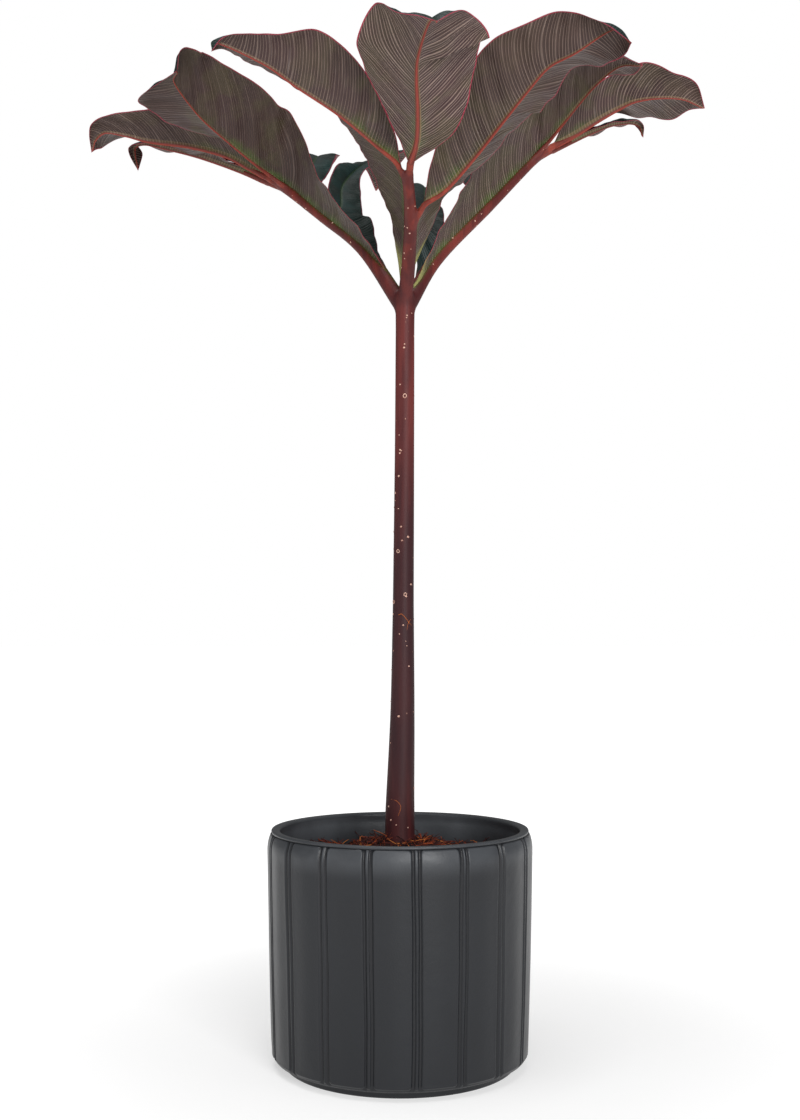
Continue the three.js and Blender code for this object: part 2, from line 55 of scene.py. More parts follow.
log = logging.getLogger("potted_leaf")

MM = 0.001
BODY = "root"
UP = np.array([0.0, 0.0, 1.0])
ANY_PHASE = 6.28
Point = tuple[float, float, float]
Faces = list[tuple[int, ...]]
Socket = bpy.types.NodeSocket
Material = bpy.types.Material
Piece = bpy.types.Object
Settings = Optional[dict[str, object]]
Inputs = Optional[dict[Union[str, int], object]]


class Side(Enum):
    """A side of a leaflet as seen from above, looking out to its tip. The value is its sign."""

    LEFT = 1.0
    RIGHT = -1.0


class Shade(NamedTuple):
    """A colour as a paint chip gives it, each part from 0 to 255."""

    red: float
    green: float
    blue: float

    def linear(self) -> tuple[float, float, float, float]:
        """Turns the chip into light, for a shader's socket.

        Returns:
            The linear colour, opaque.
        """
        parts = [part / 255.0 for part in self]
        light = [part / 12.92 if part < 0.04 else ((part + 0.055) / 1.055) ** 2.4 for part in parts]
        return (light[0], light[1], light[2], 1.0)


class Signal:
    """A number that runs through a node tree, for arithmetic written as Python expressions."""

    def __init__(self, bench: "Bench", socket: Socket) -> None:
        """Wraps the output that carries the number, on the bench that adds an expression's nodes."""
        self.bench = bench
        self.socket = socket

    def _math(self, operation: str, *values: object) -> "Signal":
        """Returns the result of one Math node on numbers or signals."""
        node = self.bench.add("ShaderNodeMath", {"operation": operation}, dict(enumerate(values)))
        return Signal(self.bench, node.outputs[0])

    def __add__(self, other: object) -> "Signal":
        """Returns the sum."""
        return self._math("ADD", self, other)

    __radd__ = __add__

    def __sub__(self, other: object) -> "Signal":
        """Returns the difference."""
        return self._math("SUBTRACT", self, other)

    def __rsub__(self, other: object) -> "Signal":
        """Returns the difference from the other."""
        return self._math("SUBTRACT", other, self)

    def __mul__(self, other: object) -> "Signal":
        """Returns the product."""
        return self._math("MULTIPLY", self, other)

    __rmul__ = __mul__

    def __truediv__(self, other: object) -> "Signal":
        """Returns the quotient."""
        return self._math("DIVIDE", self, other)

    def fraction(self) -> "Signal":
        """Returns what is left over past the whole number."""
        return self._math("FRACT", self)

    def size(self) -> "Signal":
        """Returns the number without its sign."""
        return self._math("ABSOLUTE", self)

    def ramp(self, low: float, high: float) -> "Signal":
        """Rises smoothly from 0 to 1.

        Args:
            low: the number that gives 0.
            high: the number that gives 1; it may be the smaller one.

        Returns:
            The smooth step between them.
        """
        flip = high < low
        ends = (high, low) if flip else (low, high)
        node = self.bench.add(
            "ShaderNodeMapRange",
            {"interpolation_type": "SMOOTHSTEP"},
            {"Value": self, "From Min": ends[0], "From Max": ends[1]},
        )
        step = Signal(self.bench, node.outputs[0])
        return 1.0 - step if flip else step

    def ridge(self, sharp: float) -> "Signal":
        """Returns 1 on a line at each whole number and 0 on the share of the way that is bare."""
        return (((self.fraction() - 0.5).size()) * 2.0).ramp(sharp, 1.0)


class Bench:
    """Adds nodes to one tree, shader or geometry."""

    def __init__(self, tree: bpy.types.NodeTree) -> None:
        """Opens the tree that the nodes go to."""
        self.tree = tree

    def add(self, kind: str, settings: Settings = None, inputs: Inputs = None) -> bpy.types.Node:
        """Adds one node, its settings first and then the values and links of its sockets.

        Args:
            kind: the node's type.
            settings: the node's own properties; stops holds a ramp's places and shades.
            inputs: a value, shade, socket or signal for each named, identified or numbered input.

        Returns:
            The node.
        """
        node = self.tree.nodes.new(kind)
        for name, value in (settings or {}).items():
            if name == "stops":
                self._stops(node.color_ramp, value)
            else:
                setattr(node, name, value)
        for key, value in (inputs or {}).items():
            self._feed(self._input(node, key), value)
        return node

    def _stops(self, ramp: bpy.types.ColorRamp, stops: list[tuple[float, Shade]]) -> None:
        """Sets a colour ramp's places and shades.

        Args:
            ramp: the ramp.
            stops: its places and shades in order.
        """
        while len(ramp.elements) < len(stops):
            ramp.elements.new(0.5)
        for element, (place, shade) in zip(ramp.elements, stops):
            element.position = place
            element.color = shade.linear()

    def _input(self, node: bpy.types.Node, key: Union[str, int]) -> Socket:
        """Finds an input.

        Args:
            node: the node.
            key: the input's number, identifier or name.

        Returns:
            The input.
        """
        if isinstance(key, int):
            return node.inputs[key]
        for socket in node.inputs:
            if socket.identifier == key:
                return socket
        return node.inputs[key]

    def _feed(self, socket: Socket, value: object) -> None:
        """Links or sets one input.

        Args:
            socket: the input.
            value: a signal or socket to link, or a shade or plain value to set.
        """
        if isinstance(value, Signal):
            value = value.socket
        if isinstance(value, Socket):
            self.tree.links.new(value, socket)
        elif isinstance(value, Shade):
            socket.default_value = value.linear()
        else:
            socket.default_value = value

    def attribute(self, name: str) -> Signal:
        """Returns one of the piece's own numbers by name."""
        return Signal(self, self.add("ShaderNodeAttribute", {"attribute_name": name}).outputs["Fac"])

    def place(self) -> Socket:
        """Returns the point in the row frame, in metres."""
        return self.add("ShaderNodeTexCoord").outputs["Object"]

    def stretched(self, x: float, y: float, z: float) -> Socket:
        """Returns the point with each axis scaled, for a pattern that is longer one way."""
        inputs = {"Vector": self.place(), "Scale": (x, y, z)}
        return self.add("ShaderNodeMapping", {}, inputs).outputs[0]

    def noise(self, scale: float, detail: float = 2.0, place: Optional[Socket] = None) -> Signal:
        """Returns a soft random number near 0.5, with so many patches a metre and so many finer layers."""
        inputs = {"Vector": place or self.place(), "Scale": scale, "Detail": detail}
        return Signal(self, self.add("ShaderNodeTexNoise", {}, inputs).outputs[0])

    def cells(self, scale: float, place: Optional[Socket] = None) -> Signal:
        """Returns the distance to the nearest of many scattered points, in cells."""
        inputs = {"Vector": place or self.place(), "Scale": scale}
        return Signal(self, self.add("ShaderNodeTexVoronoi", {}, inputs).outputs["Distance"])

    def blend(self, share: object, first: object, second: object) -> Socket:
        """Mixes two colours.

        Args:
            share: how much of the second, from 0 to 1.
            first: a shade or colour socket.
            second: a shade or colour socket.

        Returns:
            The mixed colour.
        """
        inputs = {"Factor_Float": share, "A_Color": first, "B_Color": second}
        node = self.add("ShaderNodeMix", {"data_type": "RGBA"}, inputs)
        return next(socket for socket in node.outputs if socket.identifier == "Result_Color")

    def bump(self, height: Signal, depth: float) -> Socket:
        """Returns the normal of relief too fine for the mesh, from 0 to 1 and so many metres deep."""
        return self.add("ShaderNodeBump", {}, {"Height": height, "Distance": depth}).outputs[0]


class Paint(Bench):
    """One material under way, with the colour that its shades have mixed so far."""

    def __init__(self, name: str, ground: Shade) -> None:
        """Starts a material.

        Args:
            name: the material's name.
            ground: the shade that the others go over.
        """
        self.colour: Union[Shade, Socket] = ground
        self.material = bpy.data.materials.new(name)
        self.material.use_nodes = True
        super().__init__(self.material.node_tree)
        self.tree.nodes.clear()

    def lay(self, share: object, shade: Union[Shade, Socket]) -> None:
        """Lays a shade over the colour so far."""
        self.colour = self.blend(share, self.colour, shade)

    def surface(self, **sockets: object) -> Material:
        """Closes the material with a Principled shader.

        Args:
            sockets: the shader's inputs by name, with underscores for spaces.

        Returns:
            The material.
        """
        inputs = {name.replace("_", " "): value for name, value in sockets.items()}
        inputs["Base Color"] = self.colour
        shader = self.add("ShaderNodeBsdfPrincipled", {}, inputs)
        self.add("ShaderNodeOutputMaterial", {}, {"Surface": shader.outputs[0]})
        return self.material


@dataclass(frozen=True)
class PotGlaze:
    """Charcoal satin glaze over a hand-pressed wall: painted highlights on rim and shoulders, painted light
    inside, painted shade in grooves.
    """

    body: Shade = Shade(27, 29, 33)
    # thin: the colour of the painted highlights on the rim and the shoulders, and of the painted light
    # inside
    thin: Shade = Shade(88, 91, 95)
    # deep: the colour of the painted shade in the grooves, and of darker random mottling
    deep: Shade = Shade(22, 23, 26)

    def make(self) -> Material:
        """Mixes the finish.

        Returns:
            The material.
        """
        bench = Paint("charcoal_glaze", self.body)
        raised = bench.attribute("raised")
        cloud = bench.noise(28.0, 3.0)
        grain = bench.noise(900.0, 2.0)
        parts = bench.add("ShaderNodeSeparateXYZ", {}, {"Vector": bench.place()})
        height = Signal(bench, parts.outputs["Z"])
        # A painted highlight on the panels' rounded shoulders, below the rim.
        shoulder = height.ramp(0.134, 0.152) * height.ramp(0.1552, 0.1536) * raised.ramp(-0.5, 0.1)
        # A painted highlight on the rim's crest and painted light on the inner wall, carried by the plain
        # rings' raised value.
        bench.lay(raised.ramp(0.25, 1.3) * 0.46, self.thin)
        bench.lay(shoulder * (0.25 + cloud * 0.4), self.thin)
        # Painted shade in the grooves.
        bench.lay(raised.ramp(-0.35, -1.0) * 0.6, self.deep)
        bench.lay(cloud.ramp(0.62, 0.38) * 0.25, self.deep)
        return bench.surface(
            Roughness=0.29 + cloud * 0.10 + grain * 0.08,
            Specular_IOR_Level=0.34,
            Normal=bench.bump(grain * 0.35 + bench.noise(160.0, 2.0) * 0.65, 0.00022),
        )


@dataclass(frozen=True)
class CoirFibre:
    """Loose coconut fibre, from dark wet brown to dry orange straw."""

    wet: Shade = Shade(34, 8, 8)
    brown: Shade = Shade(84, 24, 12)
    rust: Shade = Shade(158, 66, 22)
    straw: Shade = Shade(222, 138, 66)

    def make(self) -> Material:
        """Mixes the finish.

        Returns:
            The material.
        """
        bench = Paint("coir_fibre", self.brown)
        tone = bench.attribute("tone")
        ramp = {"stops": [(0.0, self.wet), (0.6, self.brown), (0.88, self.rust), (1.0, self.straw)]}
        bench.colour = bench.add("ShaderNodeValToRGB", ramp, {"Fac": tone}).outputs[0]
        streak = bench.noise(2400.0, 2.0)
        bench.lay(streak.ramp(0.6, 0.35) * 0.4, self.wet)
        return bench.surface(
            Roughness=0.62 + streak * 0.2,
            Specular_IOR_Level=0.35,
            Normal=bench.bump(streak, 0.0001),
        )


@dataclass(frozen=True)
class CoirPith:
    """The matted bed under the loose fibres: dark crumbs with rusty threads in them."""

    dark: Shade = Shade(24, 11, 9)
    rust: Shade = Shade(78, 30, 16)

    def make(self) -> Material:
        """Mixes the finish.

        Returns:
            The material.
        """
        bench = Paint("coir_pith", self.dark)
        crumbs = bench.cells(420.0)
        threads = bench.noise(520.0, 4.0, bench.stretched(1.0, 0.3, 1.0))
        bench.lay(threads.ramp(0.45, 0.68) * 0.8, self.rust)
        bench.lay(crumbs.ramp(0.3, 0.0) * 0.6, self.dark)
        relief = crumbs * 0.5 + threads * 0.5
        return bench.surface(
            Roughness=0.92, Specular_IOR_Level=0.2, Normal=bench.bump(relief, 0.0012)
        )


@dataclass(frozen=True)
class PottingMix:
    """Damp peat and fine bark."""

    peat: Shade = Shade(40, 27, 20)
    bark: Shade = Shade(86, 60, 42)

    def make(self) -> Material:
        """Mixes the finish.

        Returns:
            The material.
        """
        bench = Paint("potting_mix", self.peat)
        chips = bench.cells(240.0, bench.stretched(1.0, 1.0, 2.0))
        fines = bench.noise(700.0, 4.0)
        bench.lay(chips.ramp(0.35, 0.1) * fines.ramp(0.35, 0.6), self.bark)
        return bench.surface(
            Roughness=0.93, Specular_IOR_Level=0.2, Normal=bench.bump(chips + fines, 0.001)
        )


@dataclass(frozen=True)
class TuberSkin:
    """Papery brown skin with rings of old leaf scars."""

    skin: Shade = Shade(126, 94, 74)
    scar: Shade = Shade(74, 50, 40)

    def make(self) -> Material:
        """Mixes the finish.

        Returns:
            The material.
        """
        bench = Paint("tuber_skin", self.skin)
        rings = bench.noise(60.0, 3.0, bench.stretched(0.25, 0.25, 3.0))
        flakes = bench.noise(320.0, 3.0)
        bench.lay(rings.ramp(0.55, 0.4), self.scar)
        return bench.surface(
            Roughness=0.8 + flakes * 0.12,
            Specular_IOR_Level=0.25,
            Normal=bench.bump(rings * 0.6 + flakes * 0.4, 0.0008),
        )


@dataclass(frozen=True)
class StalkSkin:
    """The smooth skin of stalk, branches and midribs: dusky below, redder towards the leaf."""

    foot: Shade = Shade(76, 34, 34)
    low: Shade = Shade(58, 27, 29)
    high: Shade = Shade(108, 46, 42)
    branch: Shade = Shade(116, 44, 34)
    rib: Shade = Shade(134, 56, 42)
    shade: Shade = Shade(34, 16, 22)
    green: Shade = Shade(64, 72, 22)
    axil_shade: Shade = Shade(66, 22, 20)
    fleck: Shade = Shade(196, 150, 128)

    def make(self) -> Material:
        """Mixes the finish.

        Returns:
            The material.
        """
        bench = Paint("stalk_skin", self.foot)
        height = bench.attribute("height")
        streak = bench.noise(150.0, 3.0, bench.stretched(1.0, 1.0, 0.09))
        blotch = bench.noise(55.0, 2.0, bench.stretched(1.0, 1.0, 0.35))
        bench.lay(height.ramp(150.0, 230.0), self.low)
        bench.lay(height.ramp(300.0, 515.0), self.high)
        bench.lay(bench.attribute("fork"), self.branch)
        bench.lay(bench.attribute("outward").ramp(0.3, 1.0), self.rib)
        # Painted shade where the branches part from the stalk.
        bench.lay(height.ramp(513.0, 519.0) * height.ramp(582.0, 535.0) * 0.5, self.axil_shade)
        bench.lay(streak.ramp(0.62, 0.42) * 0.42, self.shade)
        bench.lay(blotch.ramp(0.60, 0.44) * 0.25, self.shade)
        bench.lay(bench.attribute("flush") * 0.75, self.green)
        flecks = bench.cells(230.0, bench.stretched(1.0, 1.0, 0.7)).ramp(0.11, 0.06)
        rare = bench.noise(36.0, 1.0).ramp(0.56, 0.66)
        bench.lay(flecks * rare * 0.55, self.fleck)
        pores = bench.noise(1300.0, 2.0)
        return bench.surface(
            Roughness=0.42 + streak * 0.12 + pores * 0.06,
            Specular_IOR_Level=0.2,
            Normal=bench.bump(streak * 0.55 + pores * 0.45, 0.00022),
        )


@dataclass(frozen=True)
class FleckSkin:
    """Pale corky spots on the stalk."""

    cork: Shade = Shade(216, 180, 162)
    rim: Shade = Shade(160, 112, 96)

    def make(self) -> Material:
        """Mixes the finish.

        Returns:
            The material.
        """
        bench = Paint("corky_spot", self.cork)
        fine = bench.noise(2600.0, 2.0)
        bench.lay(fine.ramp(0.6, 0.4), self.rim)
        return bench.surface(
            Roughness=0.7, Specular_IOR_Level=0.3, Normal=bench.bump(fine, 0.00012)
        )


@dataclass(frozen=True)
class VeinLines:
    """The fine veins that both faces of a blade share, read along and across them in millimetres."""

    spacing: float = 2.2

    def streak(self, bench: Bench, fine: float, long: float) -> Signal:
        """Random streaks that run along the veins.

        Args:
            bench: the material's bench.
            fine: how fine they are across the veins, in changes a millimetre.
            long: the same along the veins.

        Returns:
            A number near 0.5, from 0 to 1.
        """
        parts = {"X": bench.attribute("vein") * fine, "Y": bench.attribute("rib") * long}
        place = bench.add("ShaderNodeCombineXYZ", {}, parts).outputs[0]
        return bench.noise(1.0, 3.0, place)

    def run(self, bench: Bench) -> Signal:
        """Returns a number that goes up by one at each vein, a little unevenly."""
        return bench.attribute("vein") / self.spacing + self.streak(bench, 0.16, 0.02) * 0.9


@dataclass(frozen=True)
class BladeUnderside:
    """The satin underside: brown-mauve between fine pale veins, a red midrib and a thin crimson margin."""

    ground: Shade = Shade(66, 48, 41)
    dusk: Shade = Shade(62, 41, 42)
    dark: Shade = Shade(46, 33, 29)
    olive: Shade = Shade(62, 58, 34)
    leafy: Shade = Shade(60, 84, 20)
    vein: Shade = Shade(172, 148, 136)
    lateral: Shade = Shade(188, 166, 152)
    bare: Shade = Shade(158, 156, 92)
    silver_streak_and_sheen: Shade = Shade(182, 166, 160)
    rib: Shade = Shade(128, 46, 32)
    rib_side: Shade = Shade(98, 36, 28)
    rib_edge: Shade = Shade(146, 118, 82)
    margin: Shade = Shade(160, 34, 64)

    def make(self) -> Material:
        """Mixes the finish.

        Returns:
            The material.
        """
        bench = Paint("blade_underside", self.ground)
        lines = VeinLines()
        away = bench.attribute("rib")
        edge = bench.attribute("edge")
        base = bench.attribute("base")
        crest = bench.attribute("crest")
        pale = bench.attribute("pale")
        cloud = bench.noise(16.0, 2.0)
        wander = bench.noise(60.0, 2.0)
        run = lines.run(bench)
        broken = lines.streak(bench, 1.3, 0.05).ramp(0.34, 0.62)
        fine = run.ridge(0.5)
        lateral = (run / 4.0 + 0.3).ridge(0.86)
        bench.lay(cloud.ramp(0.38, 0.62), self.dusk)
        # Random dark blotches, and painted shade over the whole blade where the leaflet's pale is low.
        blotch = bench.noise(30.0, 3.0).ramp(0.60, 0.40) * 0.35 + pale.ramp(0.9, 0.3) * 0.45
        bench.lay(blotch, self.dark)
        bench.lay(wander.ramp(0.42, 0.62) * base.ramp(150.0, 20.0) * 0.6, self.olive)
        near = away.ramp(8.0, 1.0) * base.ramp(75.0, 10.0)
        bench.lay(near * (0.3 + wander.ramp(0.4, 0.6) * 0.4), self.leafy)
        bench.lay(fine * (0.42 + broken * 0.3) * pale, self.vein)
        bench.lay(lateral * (0.1 + broken * 0.3) * pale, self.lateral)
        # Silvery streaks along the veins: part of them the blade's pale streaking, part a painted sheen.
        silver_streak_and_sheen = lines.streak(bench, 0.5, 0.035).ramp(0.60, 0.74) * cloud.ramp(0.46, 0.6)
        bench.lay(silver_streak_and_sheen * 0.34 * pale, self.silver_streak_and_sheen)
        rib_foot = crest.ramp(1.4, 1.05) * crest.ramp(0.74, 0.9)
        bench.lay(rib_foot * pale * 0.62, self.rib_edge)
        midrib = bench.blend(crest.ramp(0.25, 0.7), self.rib, self.rib_side)
        bench.lay(crest.ramp(0.88, 0.66), midrib)
        bench.lay(edge.ramp(1.0, 0.25) * (0.35 + pale * 0.55), self.margin)
        bench.lay(bench.attribute("seam") * 0.85, self.bare)
        relief = (fine * 0.75 + lateral * 0.25) * crest.ramp(0.9, 1.3) + broken * 0.18
        return bench.surface(
            Roughness=0.46 - fine * 0.08 + cloud * 0.06,
            Specular_IOR_Level=0.3,
            Normal=bench.bump(relief, 0.0005),
        )


@dataclass(frozen=True)
class BladeUpperFace:
    """The upper face: nearly black green with a cool sheen and sunken veins."""

    ground: Shade = Shade(10, 24, 20)
    bloom: Shade = Shade(10, 46, 44)
    vein: Shade = Shade(6, 14, 12)
    rib: Shade = Shade(36, 54, 30)
    margin: Shade = Shade(110, 34, 54)

    def make(self) -> Material:
        """Mixes the finish.

        Returns:
            The material.
        """
        bench = Paint("blade_upper_face", self.ground)
        lines = VeinLines()
        crest = bench.attribute("crest")
        cloud = bench.noise(34.0, 3.0)
        run = lines.run(bench)
        fine = run.ridge(0.6)
        lateral = (run / 4.0 + 0.3).ridge(0.84)
        bench.lay(cloud.ramp(0.4, 0.66) * 0.6, self.bloom)
        bench.lay(fine * 0.25 + lateral * 0.4, self.vein)
        bench.lay(crest.ramp(1.2, 0.5) * 0.7, self.rib)
        bench.lay(bench.attribute("edge").ramp(1.0, 0.2) * 0.8, self.margin)
        relief = 1.0 - fine * 0.3 - lateral * 0.6
        return bench.surface(
            Roughness=0.46 + cloud * 0.10,
            Specular_IOR_Level=0.22,
            Normal=bench.bump(relief, 0.0005),
        )


@dataclass(frozen=True)
class StudioPaper:
    """The plain pale ground."""

    paper: Shade = Shade(190, 190, 190)
    near: Shade = Shade(196, 196, 196)
    far: Shade = Shade(250, 250, 250)

    def make(self) -> Material:
        """Mixes the finish.

        Returns:
            The material.
        """
        bench = Paint("studio_paper", self.paper)
        out = bench.add("ShaderNodeVectorMath", {"operation": "LENGTH"}, {0: bench.place()})
        glow = bench.blend(Signal(bench, out.outputs["Value"]).ramp(0.08, 0.75), self.near, self.far)
        return bench.surface(
            Roughness=0.85,
            Specular_IOR_Level=0.1,
            Emission_Color=glow,
            Emission_Strength=1.0,
        )


def unit(rows: np.ndarray) -> np.ndarray:
    """Returns each row scaled to length 1."""
    return rows / np.maximum(np.linalg.norm(rows, axis=-1, keepdims=True), 1e-9)


def smooth(low: float, high: float, value: np.ndarray) -> np.ndarray:
    """Returns a smooth step from 0 at low to 1 at high, which may be the smaller one."""
    share = np.clip((value - low) / (high - low), 0.0, 1.0)
    return share * share * (3.0 - 2.0 * share)


@dataclass(frozen=True)
class Rail:
    """A smooth line through given stations, evenly shared between them."""

    stations: np.ndarray

    def _cubic(self, share: np.ndarray) -> tuple[np.ndarray, ...]:
        """Finds the cubic of the stretch that holds each share.

        Args:
            share: places from 0, the start, to 1, the end.

        Returns:
            The cubic's four factors, the highest first, and how far along its stretch each share is.
        """
        points = self.stations
        last = len(points) - 1
        run = np.clip(np.atleast_1d(share), 0.0, 1.0) * last
        stretch = np.minimum(np.floor(run).astype(int), last - 1)
        padded = np.vstack([2.0 * points[0] - points[1], points, 2.0 * points[-1] - points[-2]])
        before, start, end, after = (padded[stretch + i] for i in range(4))
        pull, push = (end - before) / 2.0, (after - start) / 2.0
        cubic = 2.0 * start - 2.0 * end + pull + push
        square = -3.0 * start + 3.0 * end - 2.0 * pull - push
        return cubic, square, pull, start, (run - stretch)[:, None]

    def at(self, share: np.ndarray) -> np.ndarray:
        """Returns the points at these shares of the way."""
        cubic, square, pull, start, w = self._cubic(share)
        return ((cubic * w + square) * w + pull) * w + start

    def ahead(self, share: np.ndarray) -> np.ndarray:
        """Returns the unit direction of the line at these shares of the way."""
        cubic, square, pull, _, w = self._cubic(share)
        return unit((3.0 * cubic * w + 2.0 * square) * w + pull)


def rail(points: list[Point]) -> Rail:
    """Returns the smooth line through a list of points."""
    return Rail(np.array(points, dtype=float))


def tapered(sizes: list[float], share: np.ndarray) -> np.ndarray:
    """Returns a list of sizes read at shares of its length, straight between its entries."""
    return np.interp(share, np.linspace(0.0, 1.0, len(sizes)), sizes)


def linked(name: str, data: bpy.types.ID) -> Piece:
    """Puts a mesh, light or camera into the scene.

    Args:
        name: the object's name.
        data: what it holds.

    Returns:
        The object.
    """
    thing = bpy.data.objects.new(name, data)
    bpy.context.collection.objects.link(thing)
    return thing


def number_points(mesh: bpy.types.Mesh, numbers: dict[str, np.ndarray]) -> None:
    """Stores numbers at a mesh's points for its finish or its node tree to read.

    Args:
        mesh: the mesh.
        numbers: the numbers by name, one for each point.
    """
    for name, values in numbers.items():
        layer = mesh.attributes.new(name, "FLOAT", "POINT")
        layer.data.foreach_set("value", np.asarray(values, dtype=np.float32))


def points_of(mesh: bpy.types.Mesh) -> np.ndarray:
    """Reads a mesh's points.

    Args:
        mesh: the mesh.

    Returns:
        The points in millimetres, one in a row.
    """
    places = np.empty(len(mesh.vertices) * 3)
    mesh.vertices.foreach_get("co", places)
    return places.reshape(-1, 3) / MM


def move_points(mesh: bpy.types.Mesh, places: np.ndarray) -> None:
    """Moves a mesh's points and shades it smooth.

    Args:
        mesh: the mesh.
        places: the new points in millimetres.
    """
    mesh.vertices.foreach_set("co", (places * MM).ravel())
    mesh.shade_smooth()
    mesh.update()


def tube_faces(count: int, around: int) -> Faces:
    """Joins closed rings of points, in order, with four-sided faces.

    Args:
        count: how many rings there are.
        around: how many points each has.

    Returns:
        The faces.
    """
    index = np.arange(count * around).reshape(count, around)
    after = np.roll(index, -1, axis=1)
    quads = np.stack([index[:-1], after[:-1], after[1:], index[1:]], axis=-1).reshape(-1, 4)
    return [tuple(face) for face in quads.tolist()]


def closed_rings(rings: list[np.ndarray], last: Point, first: Point) -> tuple[np.ndarray, Faces]:
    """Joins rings of points into one closed form, with a point that closes each end.

    Args:
        rings: the rings in order, each with as many points as the next.
        last: the point inside the last ring.
        first: the point inside the first ring.

    Returns:
        The form's points and faces.
    """
    count, around = len(rings), len(rings[0])
    faces = tube_faces(count, around)
    end = (count - 1) * around
    top, bottom = count * around, count * around + 1
    for i in range(around):
        following = (i + 1) % around
        faces.append((end + i, end + following, top))
        faces.append((following, i, bottom))
    return np.concatenate([*rings, [last], [first]]), faces


@dataclass
class FineMesh:
    """Points, faces and numbers of a mesh before it is handed to Blender."""

    points: np.ndarray
    faces: Faces
    slots: list[int] = field(default_factory=list)
    numbers: dict[str, np.ndarray] = field(default_factory=dict)

    def volume(self) -> float:
        """Measures the signed volume.

        Returns:
            The volume, which is positive where the faces point outwards.
        """
        corners = self.points
        total = 0.0
        for size in {len(face) for face in self.faces}:
            group = np.array([face for face in self.faces if len(face) == size])
            for i in range(1, size - 1):
                a, b, c = corners[group[:, 0]], corners[group[:, i]], corners[group[:, i + 1]]
                total += float(np.einsum("ij,ij->i", a, np.cross(b, c)).sum()) / 6.0
        return total

    def build(self, name: str, materials: list[Material]) -> Piece:
        """Makes the object, with its place in its mesh and its faces outwards.

        Args:
            name: the piece's name.
            materials: the materials that the slots number.

        Returns:
            The object, linked to the scene.
        """
        faces = self.faces if self.volume() >= 0.0 else [face[::-1] for face in self.faces]
        mesh = bpy.data.meshes.new(name)
        mesh.from_pydata((self.points * MM).tolist(), [], faces)
        for material in materials:
            mesh.materials.append(material)
        if self.slots:
            mesh.polygons.foreach_set("material_index", self.slots)
        number_points(mesh, self.numbers)
        mesh.shade_smooth()
        mesh.update()
        return linked(name, mesh)


def settle(piece: Piece, nodes: tuple[str, ...] = ()) -> Piece:
    """Puts a finished piece on the plant's one body and reports it.

    Args:
        piece: the piece.
        nodes: the solids that the piece stands for.

    Returns:
        The piece.
    """
    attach(piece, BODY)
    if nodes:
        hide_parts(*nodes)
    log.info("%s: %d faces", piece.name, len(piece.data.polygons))
    return piece


def plain_mesh(maker: Piece, name: str) -> Piece:
    """Turns an object with live modifiers into a plain mesh object and removes the maker.

    Args:
        maker: the object whose modifiers make the shape.
        name: the new piece's name.

    Returns:
        The plain piece.
    """
    graph = bpy.context.evaluated_depsgraph_get()
    mesh = bpy.data.meshes.new_from_object(maker.evaluated_get(graph), depsgraph=graph)
    mesh.name = name
    piece = linked(name, mesh)
    bpy.data.objects.remove(maker)
    return piece


class Grower(Bench):
    """A geometry tree with named sizes that ends in one plain mesh with one finish."""

    def __init__(self, name: str, sizes: dict[str, Union[int, float]]) -> None:
        """Opens the tree.

        Args:
            name: the tree's name.
            sizes: the value of each named input; a whole number makes it a whole-number input.
        """
        super().__init__(bpy.data.node_groups.new(name, "GeometryNodeTree"))
        self.sizes = sizes
        face = self.tree.interface
        face.new_socket("Geometry", in_out="INPUT", socket_type="NodeSocketGeometry")
        for label, value in sizes.items():
            kind = "NodeSocketInt" if isinstance(value, int) else "NodeSocketFloat"
            face.new_socket(label, in_out="INPUT", socket_type=kind)
        face.new_socket("Geometry", in_out="OUTPUT", socket_type="NodeSocketGeometry")
        self.given = self.add("NodeGroupInput").outputs

    def made(self, kind: str, inputs: dict[Union[str, int], object], **settings: object) -> Socket:
        """Returns the first output of a new node."""
        return self.add(kind, settings, inputs).outputs[0]

    def times(self, size: Socket, factor: object) -> Socket:
        """Returns a size times a factor."""
        return self.made("ShaderNodeMath", {0: size, 1: factor}, operation="MULTIPLY")

    def own(self, name: str, kind: str = "FLOAT") -> Socket:
        """Returns one of the points' own values by name."""
        return self.made("GeometryNodeInputNamedAttribute", {"Name": name}, data_type=kind)

    def circle(self, sides: int, radius: object) -> Socket:
        """Returns a circle, for a path or a tube's section."""
        sizes = {"Resolution": sides, "Radius": radius}
        return self.made("GeometryNodeCurvePrimitiveCircle", sizes, mode="RADIUS")

    def random(self, low: Union[float, Point], high: Union[float, Point], shift: int) -> Socket:
        """Draws a number or a vector for each instance.

        Args:
            low: the least that it may be.
            high: the most.
            shift: what sets this draw apart from the tree's other draws.

        Returns:
            The draw.
        """
        seed = self.made("ShaderNodeMath", {0: self.given["Seed"], 1: float(shift)}, operation="ADD")
        vector = isinstance(low, tuple)
        ending = "" if vector else "_001"
        inputs = {"Min" + ending: low, "Max" + ending: high, "Seed": seed}
        settings = {"data_type": "FLOAT_VECTOR" if vector else "FLOAT"}
        node = self.add("FunctionNodeRandomValue", settings, inputs)
        return next(socket for socket in node.outputs if socket.identifier == "Value" + ending)

    def grow(self, maker: Piece, shape: Socket, finish: Material, name: str) -> Piece:
        """Ends the tree, runs it once and keeps the result.

        Args:
            maker: the object with the points or faces to grow on, which is removed.
            shape: what the tree has made.
            finish: its material.
            name: the new piece's name.

        Returns:
            The plain piece.
        """
        real = self.made("GeometryNodeRealizeInstances", {"Geometry": shape})
        painted = self.made("GeometryNodeSetMaterial", {"Geometry": real, "Material": finish})
        self.add("NodeGroupOutput", {}, {"Geometry": painted})
        growth = maker.modifiers.new(self.tree.name, "NODES")
        growth.node_group = self.tree
        for item in self.tree.interface.items_tree:
            if item.in_out == "INPUT" and item.name in self.sizes:
                growth[item.identifier] = self.sizes[item.name]
        return plain_mesh(maker, name)


